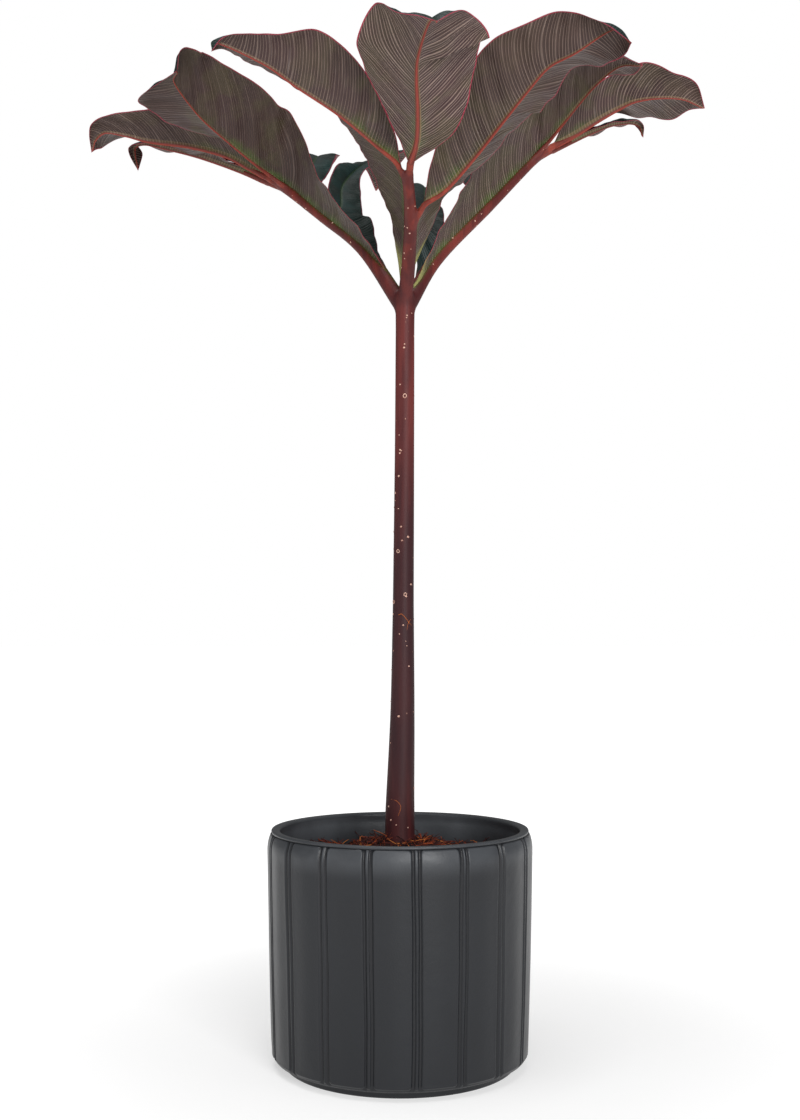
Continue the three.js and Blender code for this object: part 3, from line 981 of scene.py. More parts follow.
@dataclass(frozen=True)
class Stub:
    """Where a leaflet's midrib leaves its branch: the share of the way along, and the leaflet's start."""

    share: float
    start: Point


@dataclass(frozen=True)
class Branch:
    """One branch of the leaf: its middle line, its radius along it and its stubs."""

    name: str
    path: list[Point]
    radii: list[float]
    stubs: list[Stub]

    def line(self) -> Rail:
        """Returns the branch's middle line."""
        return rail(self.path)


LEFT_BRANCH = Branch(
    "left_branch",
    [(2, 2, 517), (-26, 18, 562), (-57, 33, 591), (-87, 47, 618)],
    [5.8, 4.8, 4.0, 3.4],
    [
        Stub(0.84, (-71, 50, 613)),
        Stub(0.66, (-49, 41, 594)),
        Stub(0.99, (-94, 40, 623)),
        Stub(0.99, (-96, 47, 624)),
        Stub(0.99, (-93, 55, 622)),
    ],
)
MIDDLE_BRANCH = Branch(
    "middle_branch",
    [(3, 0, 517), (6, -16, 545), (7, -38, 569), (5, -62, 589)],
    [5.2, 4.7, 4.3, 3.4],
    [Stub(0.99, (7, -70, 595)), Stub(0.99, (-1, -66, 595)), Stub(0.64, (15, -43, 575))],
)
RIGHT_BRANCH = Branch(
    "right_branch",
    [(5, 2, 517), (26, 17, 555), (65, 34, 599), (103, 50, 643)],
    [5.8, 4.9, 4.1, 3.4],
    [
        Stub(0.44, (35, 32, 573)),
        Stub(0.72, (71, 46, 616)),
        Stub(0.99, (107, 43, 648)),
        Stub(0.99, (111, 49, 648)),
        Stub(0.99, (109, 57, 647)),
    ],
)
BRANCHES = (LEFT_BRANCH, MIDDLE_BRANCH, RIGHT_BRANCH)


@dataclass(frozen=True)
class Wing:
    """The strip of a leaflet's blade that runs down the side of its branch, as share and margin pairs."""

    side: Side
    margins: list[tuple[float, Point]]


@dataclass(frozen=True)
class Ripple:
    """The wave of a margin: its height in millimetres, how many there are, and where they start."""

    height: float
    count: float
    phase: float


@dataclass(frozen=True)
class Crease:
    """A soft fold across half of a blade: where it leaves the midrib, its lean outwards, and its height."""

    side: Side
    run: float
    lean: float
    height: float


@dataclass
class BladeRows:
    """The three lines of a leaflet, read at its rows."""

    share: np.ndarray
    rib: np.ndarray
    ahead: np.ndarray
    reach: dict[Side, np.ndarray]
    up: dict[Side, np.ndarray]
    span: dict[Side, np.ndarray]
    middle_up: np.ndarray
    ridge: np.ndarray
    run: np.ndarray
    start: float


@dataclass
class Leaflet:
    """One leaflet: a thin waved blade with a rounded midrib below, in three lines of stations."""

    name: str
    branch: Branch
    rib: list[Point]
    left: list[Point]
    right: list[Point]
    tip: Point
    camber: float
    ripple: Ripple
    wing: Optional[Wing] = None
    seed: int = 1
    arch: float = 1.5
    creases: tuple[Crease, ...] = ()
    # Columns across a half: in midrib half-widths, then in shares of what is left.
    rib_columns: tuple[float, ...] = (0.0, 0.3, 0.56, 0.78, 0.93, 1.03, 1.2, 1.5)
    blade_columns: tuple[float, ...] = (
        0.05, 0.12, 0.2, 0.29, 0.38, 0.47, 0.56, 0.65, 0.73, 0.8, 0.86, 0.91, 0.95, 0.98, 1.0,
    )
    thickness: float = 0.7
    rib_depth: float = 1.45
    rib_skirt: float = 0.25
    channel: float = 0.28
    # Rows along the midrib, whose half-width tapers.
    row_length: float = 1.05
    ridge_start: float = 2.1
    ridge_end: float = 0.45
    blunt: float = 0.12
    sunk: float = 0.4
    wing_lap: float = 1.2
    # The folds' height and their lengths with shares of it, and the margin flutter's height and lengths.
    quilt: float = 0.8
    folds: tuple[tuple[float, float], ...] = ((25.0, 1.0), (14.0, 0.5), (7.5, 0.2))
    flutter: float = 0.55
    flutters: tuple[float, ...] = (34.0, 19.0, 11.5)
    # How the veins lean and bend forward, and how pale they are; a low pale also darkens the whole
    # underside, a painted shade on the darker-lit leaflets.
    sweep: float = 0.1
    bend: float = 0.3
    pale: float = 0.6

    def _rails(self) -> dict[Union[Side, str], Rail]:
        """Draws the midrib and both margins as smooth lines, the wing's stations first.

        Returns:
            The midrib's line by the name rib, and each margin's by its side.
        """
        stations: dict[Union[Side, str], list[np.ndarray]] = {"rib": [], Side.LEFT: [], Side.RIGHT: []}
        if self.wing:
            line = self.branch.line()
            other = Side.RIGHT if self.wing.side is Side.LEFT else Side.LEFT
            for share, margin in self.wing.margins:
                at = np.array([share])
                base, along = line.at(at)[0], line.ahead(at)[0]
                out = np.array(margin, dtype=float) - base
                out = unit(out - along * out.dot(along))
                radius = float(tapered(self.branch.radii, at)[0])
                stations["rib"].append(base + out * (radius - self.sunk))
                stations[other].append(base + out * (radius - self.sunk - self.wing_lap))
                stations[self.wing.side].append(np.array(margin, dtype=float))
        for key, points in (("rib", self.rib), (Side.LEFT, self.left), (Side.RIGHT, self.right)):
            stations[key].extend(np.array(point, dtype=float) for point in (*points, self.tip))
        return {key: Rail(np.array(points)) for key, points in stations.items()}

    def rows(self) -> BladeRows:
        """Reads the three lines at evenly spaced rows.

        Returns:
            The rows, with each half's reach from the midrib to the margin and its upward normal.
        """
        rails = self._rails()
        rough = np.linspace(0.0, 1.0, 400)
        steps = np.linalg.norm(np.diff(rails["rib"].at(rough), axis=0), axis=1)
        travelled = np.concatenate([[0.0], np.cumsum(steps)])
        count = max(60, int(travelled[-1] / self.row_length))
        share = np.interp(np.linspace(0.0, travelled[-1], count), travelled, rough)
        rib = rails["rib"].at(share)
        ahead = rails["rib"].ahead(share)
        level = unit(np.cross(UP, ahead))
        reach, up, span = {}, {}, {}
        for side in Side:
            blunt = level * (side.value * self.blunt * share)[:, None]
            reach[side] = rails[side].at(share) - rib + blunt
            up[side] = unit(np.cross(ahead, reach[side]) * side.value)
            span[side] = np.linalg.norm(reach[side], axis=1)
        start = (len(self.wing.margins) if self.wing else 0) / (len(rails["rib"].stations) - 1)
        ridge = self.ridge_start + (self.ridge_end - self.ridge_start) * share
        if self.wing:
            ridge = ridge * smooth(start - 0.10, start, share)
        run = np.interp(share, rough, travelled)
        middle = unit(up[Side.LEFT] + up[Side.RIGHT])
        return BladeRows(share, rib, ahead, reach, up, span, middle, ridge, run, start)

    def _columns(self, span: np.ndarray, ridge: np.ndarray) -> np.ndarray:
        """Places the columns of one half: close together on the midrib and at the margin.

        Args:
            span: the half's width at each row.
            ridge: the midrib's half-width at each row.

        Returns:
            Each column's distance from the midrib, as rows by columns.
        """
        core = np.array(self.rib_columns)
        foot = np.minimum(np.maximum(ridge, 0.25), span * 0.4)
        inner = foot[:, None] * core[None, :]
        share = np.array(self.blade_columns)
        outer = inner[:, -1:] + (span[:, None] - inner[:, -1:]) * share[None, :]
        return np.hstack([inner, outer])

    def _detail(self, rows: BladeRows, side: Side, away: np.ndarray, vein: np.ndarray) -> np.ndarray:
        """Fine unevenness of the blade: soft folds between the main veins and an uneven margin.

        Args:
            rows: the leaflet's rows.
            side: which half.
            away: the distance of each point from the midrib.
            vein: the place along the midrib of the vein through each point.

        Returns:
            How far each point is lifted.
        """
        draw = np.random.default_rng(self.seed * 7 + (0 if side is Side.LEFT else 3))
        span = np.maximum(rows.span[side], 1.0)[:, None]
        out = away / span
        lift = np.zeros_like(away)
        inner = smooth(1.5, 12.0, away) * smooth(1.02, 0.7, out)
        for length, height in self.folds:
            sway = draw.uniform(0.0, ANY_PHASE)
            sway = sway + 0.9 * np.sin(rows.share * 5.0 + draw.uniform(0.0, ANY_PHASE))[:, None]
            fold = np.sin(vein * 2.0 * math.pi / length * draw.uniform(0.85, 1.2) + sway)
            lift = lift + self.quilt * height * fold * inner
        gone = rows.run[:, None] - np.interp(rows.start, rows.share, rows.run)
        for crease in self.creases:
            if crease.side is side:
                past = gone - crease.run - crease.lean * away
                fold = smooth(-1.6, 0.5, past) * np.exp(-np.maximum(past, 0.0) / 13.0)
                lift = lift - crease.height * fold * smooth(2.0, 18.0, away)
        run = rows.run[:, None] + 0.35 * away
        for length in self.flutters:
            wave = np.sin(run * 2.0 * math.pi / length * draw.uniform(0.85, 1.15) + draw.uniform(0, 6))
            lift = lift + self.flutter * wave * out**2.5 * (length / self.flutters[0])
        ends = smooth(0.0, 0.08, rows.share) * smooth(1.0, 0.93, rows.share)
        return lift * ends[:, None] * np.minimum(1.0, span / 22.0)

    def _half(self, rows: BladeRows, side: Side) -> dict[str, np.ndarray]:
        """Makes one half of the blade.

        Args:
            rows: the leaflet's rows.
            side: which half.

        Returns:
            The upper and lower points and the numbers that the finish reads, as rows by columns.
        """
        span = np.maximum(rows.span[side], 1e-3)
        away = self._columns(span, rows.ridge)
        out = away / span[:, None]
        vein = rows.run[:, None] - self.sweep * away - self.bend * away * out
        fullness = np.sin(np.pi * np.clip(rows.share, 0.0, 1.0))[:, None]
        turn = 2.0 * math.pi * (self.ripple.count * rows.share + self.ripple.phase)
        wave = self.ripple.height * np.sin(turn)[:, None] * out * out
        bow = 4.0 * out * (1.0 - out)
        lift = (self.camber * bow + wave) * fullness * np.minimum(1.0, span / 25.0)[:, None]
        ending = smooth(0.60, 0.84, rows.share) * smooth(1.0, 0.955, rows.share)
        lift = lift + self.arch * bow * (ending * np.minimum(1.0, span / 12.0))[:, None]
        lift = lift + self._detail(rows, side, away, vein)
        ridge = np.maximum(rows.ridge, 0.05)[:, None]
        foot = np.minimum(ridge, span[:, None] * 0.4)
        crest = away / foot
        turn_in = smooth(2.2, 0.0, crest)[..., None]
        up = unit(rows.up[side][:, None, :] * (1.0 - turn_in) + rows.middle_up[:, None, :] * turn_in)
        edge = span[:, None] - away
        thick = self.thickness * (0.5 + 0.5 * smooth(0.0, 3.0, edge))
        thick = thick * np.minimum(1.0, 0.35 + span / 4.0)[:, None]
        round_rib = np.sqrt(np.clip(1.0 - np.minimum(crest, 1.0) ** 2, 0.0, 1.0))
        deep = thick + self.rib_depth * foot * round_rib + self.rib_skirt * foot * smooth(1.5, 0.9, crest)
        channel = self.channel * foot * np.exp(-((crest / 0.6) ** 2))
        over = rows.rib[:, None, :] + rows.reach[side][:, None, :] * out[..., None] + up * lift[..., None]
        under = over - up * deep[..., None]
        over = over - up * channel[..., None]
        return {"over": over, "under": under, "vein": vein, "rib": away, "edge": edge, "crest": crest}

    def make(self, finishes: list[Material]) -> Piece:
        """Builds the leaflet as one closed blade.

        Args:
            finishes: the upper face's material, then the underside's.

        Returns:
            The finished piece.
        """
        rows = self.rows()
        halves = {side: self._half(rows, side) for side in Side}
        joined = {
            key: np.concatenate([halves[Side.LEFT][key][:, ::-1], halves[Side.RIGHT][key][:, 1:]], axis=1)
            for key in halves[Side.LEFT]
        }
        count, across = joined["rib"].shape
        gone = np.maximum(rows.run - np.interp(rows.start, rows.share, rows.run), 0.0)
        lip = {i: self._lip(joined, i, rows) for i in (0, -1)}
        ring = np.concatenate([joined["over"], lip[-1], joined["under"][:, ::-1], lip[0]], axis=1)
        around = ring.shape[1]

        def spread(values: np.ndarray) -> np.ndarray:
            """Returns a number of each row or upper point, set out for the whole ring."""
            rings = np.broadcast_to(values, (count, across))
            return np.concatenate([rings, rings[:, -1:], rings[:, ::-1], rings[:, :1]], axis=1).ravel()

        faces, slots = self._shell(count, across, around)
        numbers = {key: spread(joined[key]) for key in ("vein", "rib", "edge", "crest")}
        numbers["base"] = spread(gone[:, None])
        numbers["pale"] = np.full(len(numbers["base"]), self.pale)
        seam = smooth(26.0, 8.0, rows.run) if self.wing else np.zeros(count)
        numbers["seam"] = spread(seam[:, None])
        mesh = FineMesh(ring.reshape(-1, 3), faces, slots, numbers)
        return settle(mesh.build(f"{self.name}_blade", finishes), (self.name,))

    def _lip(self, joined: dict[str, np.ndarray], column: int, rows: BladeRows) -> np.ndarray:
        """Rounds one margin: a line of points a little outside the blade's edge.

        Args:
            joined: the blade's upper and lower points.
            column: the margin's column, first or last.
            rows: the leaflet's rows.

        Returns:
            The margin's outermost points, as rows by one column.
        """
        side = Side.LEFT if column == 0 else Side.RIGHT
        middle = (joined["over"][:, column] + joined["under"][:, column]) / 2.0
        return (middle + unit(rows.reach[side]) * self.thickness * 0.22)[:, None, :]

    def _shell(self, count: int, across: int, around: int) -> tuple[Faces, list[int]]:
        """Joins the rows into a closed shell.

        Args:
            count: the number of rows.
            across: the columns of one face.
            around: the points of a whole ring.

        Returns:
            The faces, and each face's material.
        """
        index = np.arange(count * around).reshape(count, around)
        slots = [0 if column < across - 1 else 1 for column in range(around)] * (count - 1)
        ends = []
        for row, flip in ((0, False), (count - 1, True)):
            for i in range(across - 1):
                low = across + 1 + (across - 1 - i)
                quad = (index[row, i], index[row, low], index[row, low - 1], index[row, i + 1])
                ends.append(tuple(int(v) for v in (quad[::-1] if flip else quad)))
            for i, a, b in ((across, across - 1, across + 1), (around - 1, around - 2, 0)):
                cap = (int(index[row, a]), int(index[row, b]), int(index[row, i]))
                ends.append(cap if flip == (i == across) else cap[::-1])
        return tube_faces(count, around) + ends, slots + [1] * len(ends)


# The thirteen leaflets: name, branch, midrib, left and right margins, tip, camber and ripple, then the wing.
# They stand on the solids' own stations but for a few tips, margins and wing starts.
LEAFLETS = [
    Leaflet(
        "leaflet_front_middle", MIDDLE_BRANCH,
        [(7, -70, 595), (11, -90, 603), (11, -115, 614), (10, -134, 625), (11, -150, 633), (17, -177, 642)],
        [(9, -71, 595), (35, -96, 607), (45, -118, 630), (47, -136, 645), (51, -150, 649), (37, -178, 648)],
        [
            (5, -71, 596), (-5, -91, 613), (-21, -118, 635), (-25, -138, 648), (-15, -160, 659),
            (1, -183, 644),
        ],
        (21, -194, 634), 2.5, Ripple(1.2, 3, 0.3),
        seed=1, arch=0.8, sweep=0.05, bend=0.5, pale=0.95, creases=(Crease(Side.LEFT, 80.0, 0.1, 7.5),),
    ),
    Leaflet(
        "leaflet_front_left", MIDDLE_BRANCH,
        [
            (-1, -66, 595), (-14, -74, 604), (-38, -88, 620), (-65, -103, 633), (-84, -116, 642),
            (-112, -132, 649),
        ],
        [
            (0, -68, 597), (-5, -76, 616), (-24, -104, 644), (-50, -122, 660), (-76, -130, 654),
            (-104, -135, 651.5),
        ],
        [
            (-25, -42, 612), (-30, -48, 619), (-47, -60, 634), (-75, -74, 649), (-94, -92, 651),
            (-109, -114, 651),
        ],
        (-114, -137, 640.5), 2.5, Ripple(1.2, 4, 0.9),
        Wing(
            Side.RIGHT,
            [(0.12, (0, -6, 541)), (0.42, (-6, -14, 572)), (0.68, (-13, -26, 591)), (0.9, (-21, -35, 604))],
        ),
        seed=2, arch=0.4, pale=0.44,
    ),
    Leaflet(
        "leaflet_front_right", MIDDLE_BRANCH,
        [
            (15, -43, 575), (30, -50, 584), (49, -62, 602), (65, -74, 619), (81, -86, 636), (94, -96, 648),
            (110, -106, 653), (133, -118, 663),
        ],
        [
            (36, -25, 591), (45, -26, 600), (67, -38, 617), (84, -50, 631), (99, -62, 643), (112, -74, 655),
            (128, -88, 652), (139, -112, 648),
        ],
        [
            (16, -46, 578), (20, -60, 597), (30, -74, 623), (43, -90, 647), (58, -106, 661), (81, -116, 668),
            (102, -122, 672), (124, -126, 663),
        ],
        (141, -131, 648.5), 3, Ripple(1.2, 4, 0.2),
        Wing(Side.LEFT, [(0.12, (8, -6, 542)), (0.38, (22, -14, 569)), (0.56, (27, -24, 582))]),
        seed=3, arch=0.9, pale=0.48, creases=(Crease(Side.LEFT, 78.0, 0.2, 3.5),),
    ),
    Leaflet(
        "leaflet_left_near", LEFT_BRANCH,
        [(-94, 40, 623), (-108, 28, 631), (-135, 6, 648), (-146, -8, 657), (-155, -25, 667.5)],
        [(-86, 1, 661), (-97, -8, 669), (-128, -28, 682), (-140, -40, 684), (-147, -44, 680)],
        [(-96, 42, 624), (-122, 36, 644), (-156, 16, 649), (-172, 2, 655), (-182, -8, 661)],
        (-151, -38, 668.5), 3, Ripple(1.4, 4, 0.6),
        Wing(
            Side.LEFT,
            [
                (0.08, (-0.1, 3.8, 531.4)), (0.16, (-7, 6, 539.4)), (0.24, (-14.5, 5, 550)),
                (0.36, (-27, -10, 568)), (0.7, (-57, -2, 608)), (0.95, (-75, 8, 653)),
            ],
        ),
        seed=4, arch=0.2, pale=0.28, creases=(Crease(Side.LEFT, 44.0, 0.55, 2.2),),
    ),
    Leaflet(
        "leaflet_left_tip", LEFT_BRANCH,
        [
            (-96, 47, 624), (-110, 48, 632), (-127, 48, 641), (-154, 46, 647), (-183, 43, 650),
            (-199, 40, 653), (-214, 37, 654), (-222, 36, 647),
        ],
        [
            (-97, 45, 625), (-112, 34, 642), (-133, 26, 654), (-165, 28, 667), (-192, 24, 664),
            (-210, 24, 662), (-222, 28, 657), (-225, 32, 650),
        ],
        [
            (-97, 49, 624), (-115, 62, 636), (-135, 72, 645), (-163, 78, 653), (-192, 74, 667),
            (-210, 66, 660), (-219, 54, 649), (-222, 43, 643),
        ],
        (-224, 35, 638), 2, Ripple(1.0, 4, 0.4),
        seed=5, pale=0.42,
    ),
    Leaflet(
        "leaflet_left_far", LEFT_BRANCH,
        [
            (-93, 55, 622), (-119, 64, 636), (-151, 74, 650), (-179, 84, 660), (-195, 90, 665),
            (-204, 93, 663), (-204, 94, 655),
        ],
        [
            (-94, 53, 622), (-112, 53, 632), (-143, 56, 645), (-169, 64, 654), (-188, 76, 660),
            (-205, 86, 661), (-207, 90, 655),
        ],
        [
            (-93, 57, 623), (-127, 88, 644), (-159, 106, 659), (-189, 112, 668), (-204, 110, 669),
            (-202, 102, 665), (-199, 99, 658),
        ],
        (-201, 94, 644), 2, Ripple(1.0, 4, 0.1),
        seed=6, pale=0.42,
    ),
    Leaflet(
        "leaflet_left_rear", LEFT_BRANCH,
        [(-71, 50, 613), (-71, 72, 629), (-68, 100, 650), (-66, 126, 666), (-65, 152, 674), (-68, 172, 674)],
        [(-73, 51, 614), (-82, 78, 636), (-87, 106, 655), (-85, 132, 670), (-82, 156, 677), (-80, 174, 676)],
        [(-69, 52, 613), (-61, 70, 624), (-54, 100, 647), (-50, 126, 667), (-49, 148, 674), (-57, 170, 674)],
        (-72, 188, 666), 2, Ripple(1.2, 4, 0.5),
        seed=7,
    ),
    Leaflet(
        "leaflet_left_inner", LEFT_BRANCH,
        [(-49, 41, 594), (-44, 60, 606), (-44, 84, 628), (-37, 108, 647), (-27, 134, 663), (-15, 160, 672)],
        [(-51, 42, 597), (-54, 58, 611), (-53, 80, 633), (-47, 100, 652), (-40, 130, 660), (-29, 160, 669)],
        [(-26, 56, 597), (-28, 64, 601), (-30, 84, 623), (-29, 104, 646), (-11, 136, 668), (6, 164, 683)],
        (-20, 184, 657), 1.5, Ripple(1.4, 4, 0.2),
        Wing(Side.RIGHT, [(0.12, (-7, 15, 543)), (0.34, (-15, 34, 564)), (0.58, (-20, 48, 589))]),
        seed=8,
    ),
    Leaflet(
        "leaflet_right_near", RIGHT_BRANCH,
        [(107, 43, 648), (125, 16, 665), (137, -10, 672), (149, -34, 674)],
        [(108, 44, 650), (136, 30, 684), (145, 4, 683), (159, -22, 672)],
        [(99, 2, 670), (117, -18, 679), (130, -34, 681), (146, -48, 675)],
        (162, -50, 668), 3, Ripple(1.4, 4, 0.7),
        Wing(
            Side.RIGHT,
            [
                (0.06, (8.2, 3.5, 531)), (0.14, (14.5, 1, 541)), (0.36, (32, -6, 577)), (0.7, (60, 4, 629)),
                (0.95, (93, 10, 664)),
            ],
        ),
        seed=9,
    ),
    Leaflet(
        "leaflet_right_tip", RIGHT_BRANCH,
        [
            (111, 49, 648), (126, 46, 655), (144, 42, 665), (159, 38, 672), (171, 34, 676), (188, 30, 677),
            (205, 28, 675),
        ],
        [
            (111, 51, 648), (131, 70, 671), (151, 74, 680), (168, 70, 680), (184, 62, 673), (200, 54, 670),
            (213, 44, 673),
        ],
        [
            (113, 48, 649), (122, 33, 666), (135, 24, 678), (153, 20, 690), (174, 12, 695), (195, 12, 688),
            (212, 18, 682),
        ],
        (220, 28, 668), 2, Ripple(1.0, 4, 0.8),
        seed=10,
    ),
    Leaflet(
        "leaflet_right_far", RIGHT_BRANCH,
        [(109, 57, 647), (128, 70, 660), (144, 76, 669), (161, 82, 677), (176, 87, 680), (184, 88, 677)],
        [(108, 59, 647), (129, 90, 664), (147, 106, 676), (164, 111, 683), (178, 108, 686), (183, 98, 680)],
        [(110, 56, 647), (127, 60, 656), (142, 60, 664), (160, 64, 671), (175, 73, 676), (185, 83, 676)],
        (186, 88, 668), 2, Ripple(1.0, 4, 0.3),
        seed=11,
    ),
    Leaflet(
        "leaflet_right_rear", RIGHT_BRANCH,
        [(71, 46, 616), (70, 70, 630), (72, 96, 645), (77, 122, 659), (85, 146, 669), (96, 166, 672)],
        [(69, 47, 616), (52, 64, 622), (47, 90, 638), (53, 118, 656), (66, 142, 669), (82, 164, 674)],
        [(73, 48, 617), (88, 78, 637), (96, 106, 655), (103, 130, 668), (108, 150, 676), (106, 166, 676)],
        (100, 180, 673), 2, Ripple(1.2, 4, 0.6),
        seed=12,
    ),
    Leaflet(
        "leaflet_right_inner", RIGHT_BRANCH,
        [(35, 32, 573), (22, 62, 592), (20, 86, 614), (19, 112, 632), (20, 140, 646), (22, 168, 652)],
        [(9, 54, 592), (10, 62, 601), (9, 86, 620), (10, 112, 636), (11, 140, 649), (16, 168, 653)],
        [(38, 34, 575), (33, 58, 592), (33, 82, 607), (30, 106, 624), (29, 134, 643), (29, 166, 652)],
        (26, 194, 649), 1.5, Ripple(1.4, 4, 0.0),
        Wing(Side.LEFT, [(0.12, (12, 15, 542)), (0.24, (12, 30, 559)), (0.38, (11, 46, 583))]),
        seed=13,
    ),
]


@dataclass(frozen=True)
class Strand:
    """A tube under way: points on its middle line and the radius at each."""

    points: np.ndarray
    radii: np.ndarray

    def distance(self, places: np.ndarray) -> np.ndarray:
        """Measures how far places are outside the tube's skin.

        Args:
            places: the places.

        Returns:
            The distance of each, below 0 inside.
        """
        nearest = np.full(len(places), 1e9)
        for start, end, r0, r1 in zip(self.points[:-1], self.points[1:], self.radii[:-1], self.radii[1:]):
            run = end - start
            share = np.clip((places - start) @ run / run.dot(run), 0.0, 1.0)
            gap = np.linalg.norm(places - start - share[:, None] * run, axis=1)
            nearest = np.minimum(nearest, gap - (r0 + (r1 - r0) * share))
        return nearest

    def tube(self, sides: int) -> tuple[np.ndarray, Faces]:
        """Makes a plain closed tube.

        Args:
            sides: how many sides it has.

        Returns:
            Its points and faces.
        """
        ahead = unit(np.gradient(self.points, axis=0))
        across = unit(np.cross(ahead, np.array([0.31, 0.93, 0.2])))
        other = np.cross(ahead, across)
        turn = np.linspace(0.0, 2.0 * math.pi, sides, endpoint=False)
        spokes = across[:, None] * np.cos(turn)[None, :, None] + other[:, None] * np.sin(turn)[None, :, None]
        rings = self.points[:, None] + spokes * self.radii[:, None, None]
        count = len(self.points)
        ends = [tuple(range(sides))[::-1], tuple(range((count - 1) * sides, count * sides))]
        return rings.reshape(-1, 3), tube_faces(count, sides) + ends


def bundle(strands: list[Strand], sides: int) -> tuple[np.ndarray, Faces]:
    """Makes the tubes of many strands in one form.

    Args:
        strands: the strands.
        sides: how many sides each has.

    Returns:
        The form's points and faces.
    """
    points: list[np.ndarray] = []
    faces: Faces = []
    start = 0
    for strand in strands:
        own, own_faces = strand.tube(sides)
        points.append(own)
        faces.extend(tuple(i + start for i in face) for face in own_faces)
        start += len(own)
    return np.concatenate(points), faces


@dataclass
class StalkAndBranches:
    """The tall stalk, the three branches and the start of every midrib, grown together in one skin."""

    leaves: list[Leaflet]
    line: tuple[tuple[float, float, float], ...] = (
        (0, 104, 9.2), (0, 132, 10.2), (0, 169, 10), (1.7, 235, 8.3),
        (2.3, 312, 7.2), (3.1, 415, 6.7), (3.5, 500, 6.5), (3.5, 522, 6.9),
    )
    voxel: float = 0.8
    fillet: float = 2.2
    midrib_run: float = 26.0
    rough_sides: int = 10
    nudge: float = 0.05
    longest_move: float = 0.8

    def _stalk(self) -> Strand:
        """Draws the tall stalk.

        Returns:
            Its strand.
        """
        share = np.linspace(0.0, 1.0, 70)
        middle = rail([(x, 0.0, z) for x, z, _ in self.line]).at(share)
        radii = tapered([r for _, _, r in self.line], share)
        return Strand(middle, radii)

    def _branch(self, branch: Branch) -> Strand:
        """Returns one branch."""
        share = np.linspace(0.0, 1.0, 26)
        return Strand(branch.line().at(share), tapered(branch.radii, share))

    def _midrib(self, leaf: Leaflet) -> Strand:
        """Draws the start of a leaflet's midrib, from inside the branch to where it sinks into the blade.

        Args:
            leaf: the leaflet.

        Returns:
            The midrib's strand.
        """
        rows = leaf.rows()
        first = float(np.interp(rows.start, rows.share, rows.run))
        stub = min(leaf.branch.stubs, key=lambda stub: math.dist(stub.start, leaf.rib[0]))
        line = leaf.branch.line()
        at = np.array([max(0.0, stub.share - 0.16), max(0.0, stub.share - 0.06)])
        radius = tapered(leaf.branch.radii, at)
        points = [*line.at(at)]
        radii = [float(radius[0]) * 0.5, float(radius[1]) * 0.62]
        for gone in np.linspace(0.0, self.midrib_run, 8):
            row = int(np.searchsorted(rows.run, first + gone))
            size = float(rows.ridge[row])
            fade = gone / self.midrib_run
            sunk = leaf.thickness + size * (0.32 + 0.25 * fade)
            points.append(rows.rib[row] - rows.middle_up[row] * sunk)
            radii.append(size * (1.16 - 0.42 * fade))
        return Strand(np.array(points), np.array(radii))

    def strands(self) -> list[Strand]:
        """Returns every tube of the form."""
        ribs = [self._midrib(leaf) for leaf in self.leaves]
        return [self._stalk(), *[self._branch(branch) for branch in BRANCHES], *ribs]

    def _melted(self, strands: list[Strand], places: np.ndarray) -> tuple[np.ndarray, np.ndarray]:
        """Joins the tubes with soft fillets.

        Args:
            strands: the tubes.
            places: where to measure.

        Returns:
            The distance outside the joined skin, and each tube's own distance.
        """
        each = np.stack([strand.distance(places) for strand in strands])
        joined = each[0]
        for gap in each[1:]:
            share = np.clip(1.0 - np.abs(joined - gap) / self.fillet, 0.0, 1.0)
            joined = np.minimum(joined, gap) - share * share * self.fillet * 0.25
        return joined, each

    def _rough(self, strands: list[Strand]) -> Piece:
        """Makes one remeshed skin from plain tubes, which the fine form is then settled on.

        Args:
            strands: the tubes.

        Returns:
            The rough piece.
        """
        points, faces = bundle(strands, self.rough_sides)
        mesh = bpy.data.meshes.new("rough_stalk")
        mesh.from_pydata((points * MM).tolist(), [], faces)
        maker = linked("rough_stalk", mesh)
        remesh = maker.modifiers.new("skin", "REMESH")
        remesh.mode = "VOXEL"
        remesh.voxel_size = self.voxel * MM
        return plain_mesh(maker, "stalk_and_branches")

    def _settled(self, places: np.ndarray, strands: list[Strand]) -> np.ndarray:
        """Moves the skin's points onto the joined form.

        Args:
            places: the remeshed points.
            strands: the tubes.

        Returns:
            The settled points.
        """
        for _ in range(4):
            here, _ = self._melted(strands, places)
            slope = np.zeros_like(places)
            for axis in range(3):
                step = np.zeros(3)
                step[axis] = self.nudge
                slope[:, axis] = (self._melted(strands, places + step)[0] - here) / self.nudge
            places = places - unit(slope) * np.clip(here, -self.longest_move, self.longest_move)[:, None]
        return places

    def _wing_lines(self) -> np.ndarray:
        """Finds the lines where blades join the branches.

        Returns:
            Points along them.
        """
        lines = []
        for leaf in self.leaves:
            if leaf.wing:
                rows = leaf.rows()
                lines.append(rows.rib[rows.share < rows.start][::3])
        return np.concatenate(lines)

    def make(self, finish: Material) -> Piece:
        """Builds the piece.

        Args:
            finish: the skin's material.

        Returns:
            The finished piece.
        """
        strands = self.strands()
        piece = self._rough(strands)
        mesh = piece.data
        places = self._settled(points_of(mesh), strands)
        move_points(mesh, places)
        _, each = self._melted(strands, places)
        stalk, branches, ribs = each[0], each[1:4].min(axis=0), each[4:].min(axis=0)
        fork = smooth(1.5, -0.8, np.minimum(branches, ribs)) * smooth(515.0, 545.0, places[:, 2])
        outward = smooth(0.9, -0.2, ribs) * smooth(-0.4, 0.6, branches)
        numbers = {"height": places[:, 2], "fork": fork, "outward": outward, "flush": self._flush(places)}
        number_points(mesh, numbers)
        mesh.materials.clear()
        mesh.materials.append(finish)
        nodes = ("petiole", *(branch.name for branch in BRANCHES))
        return settle(piece, nodes)

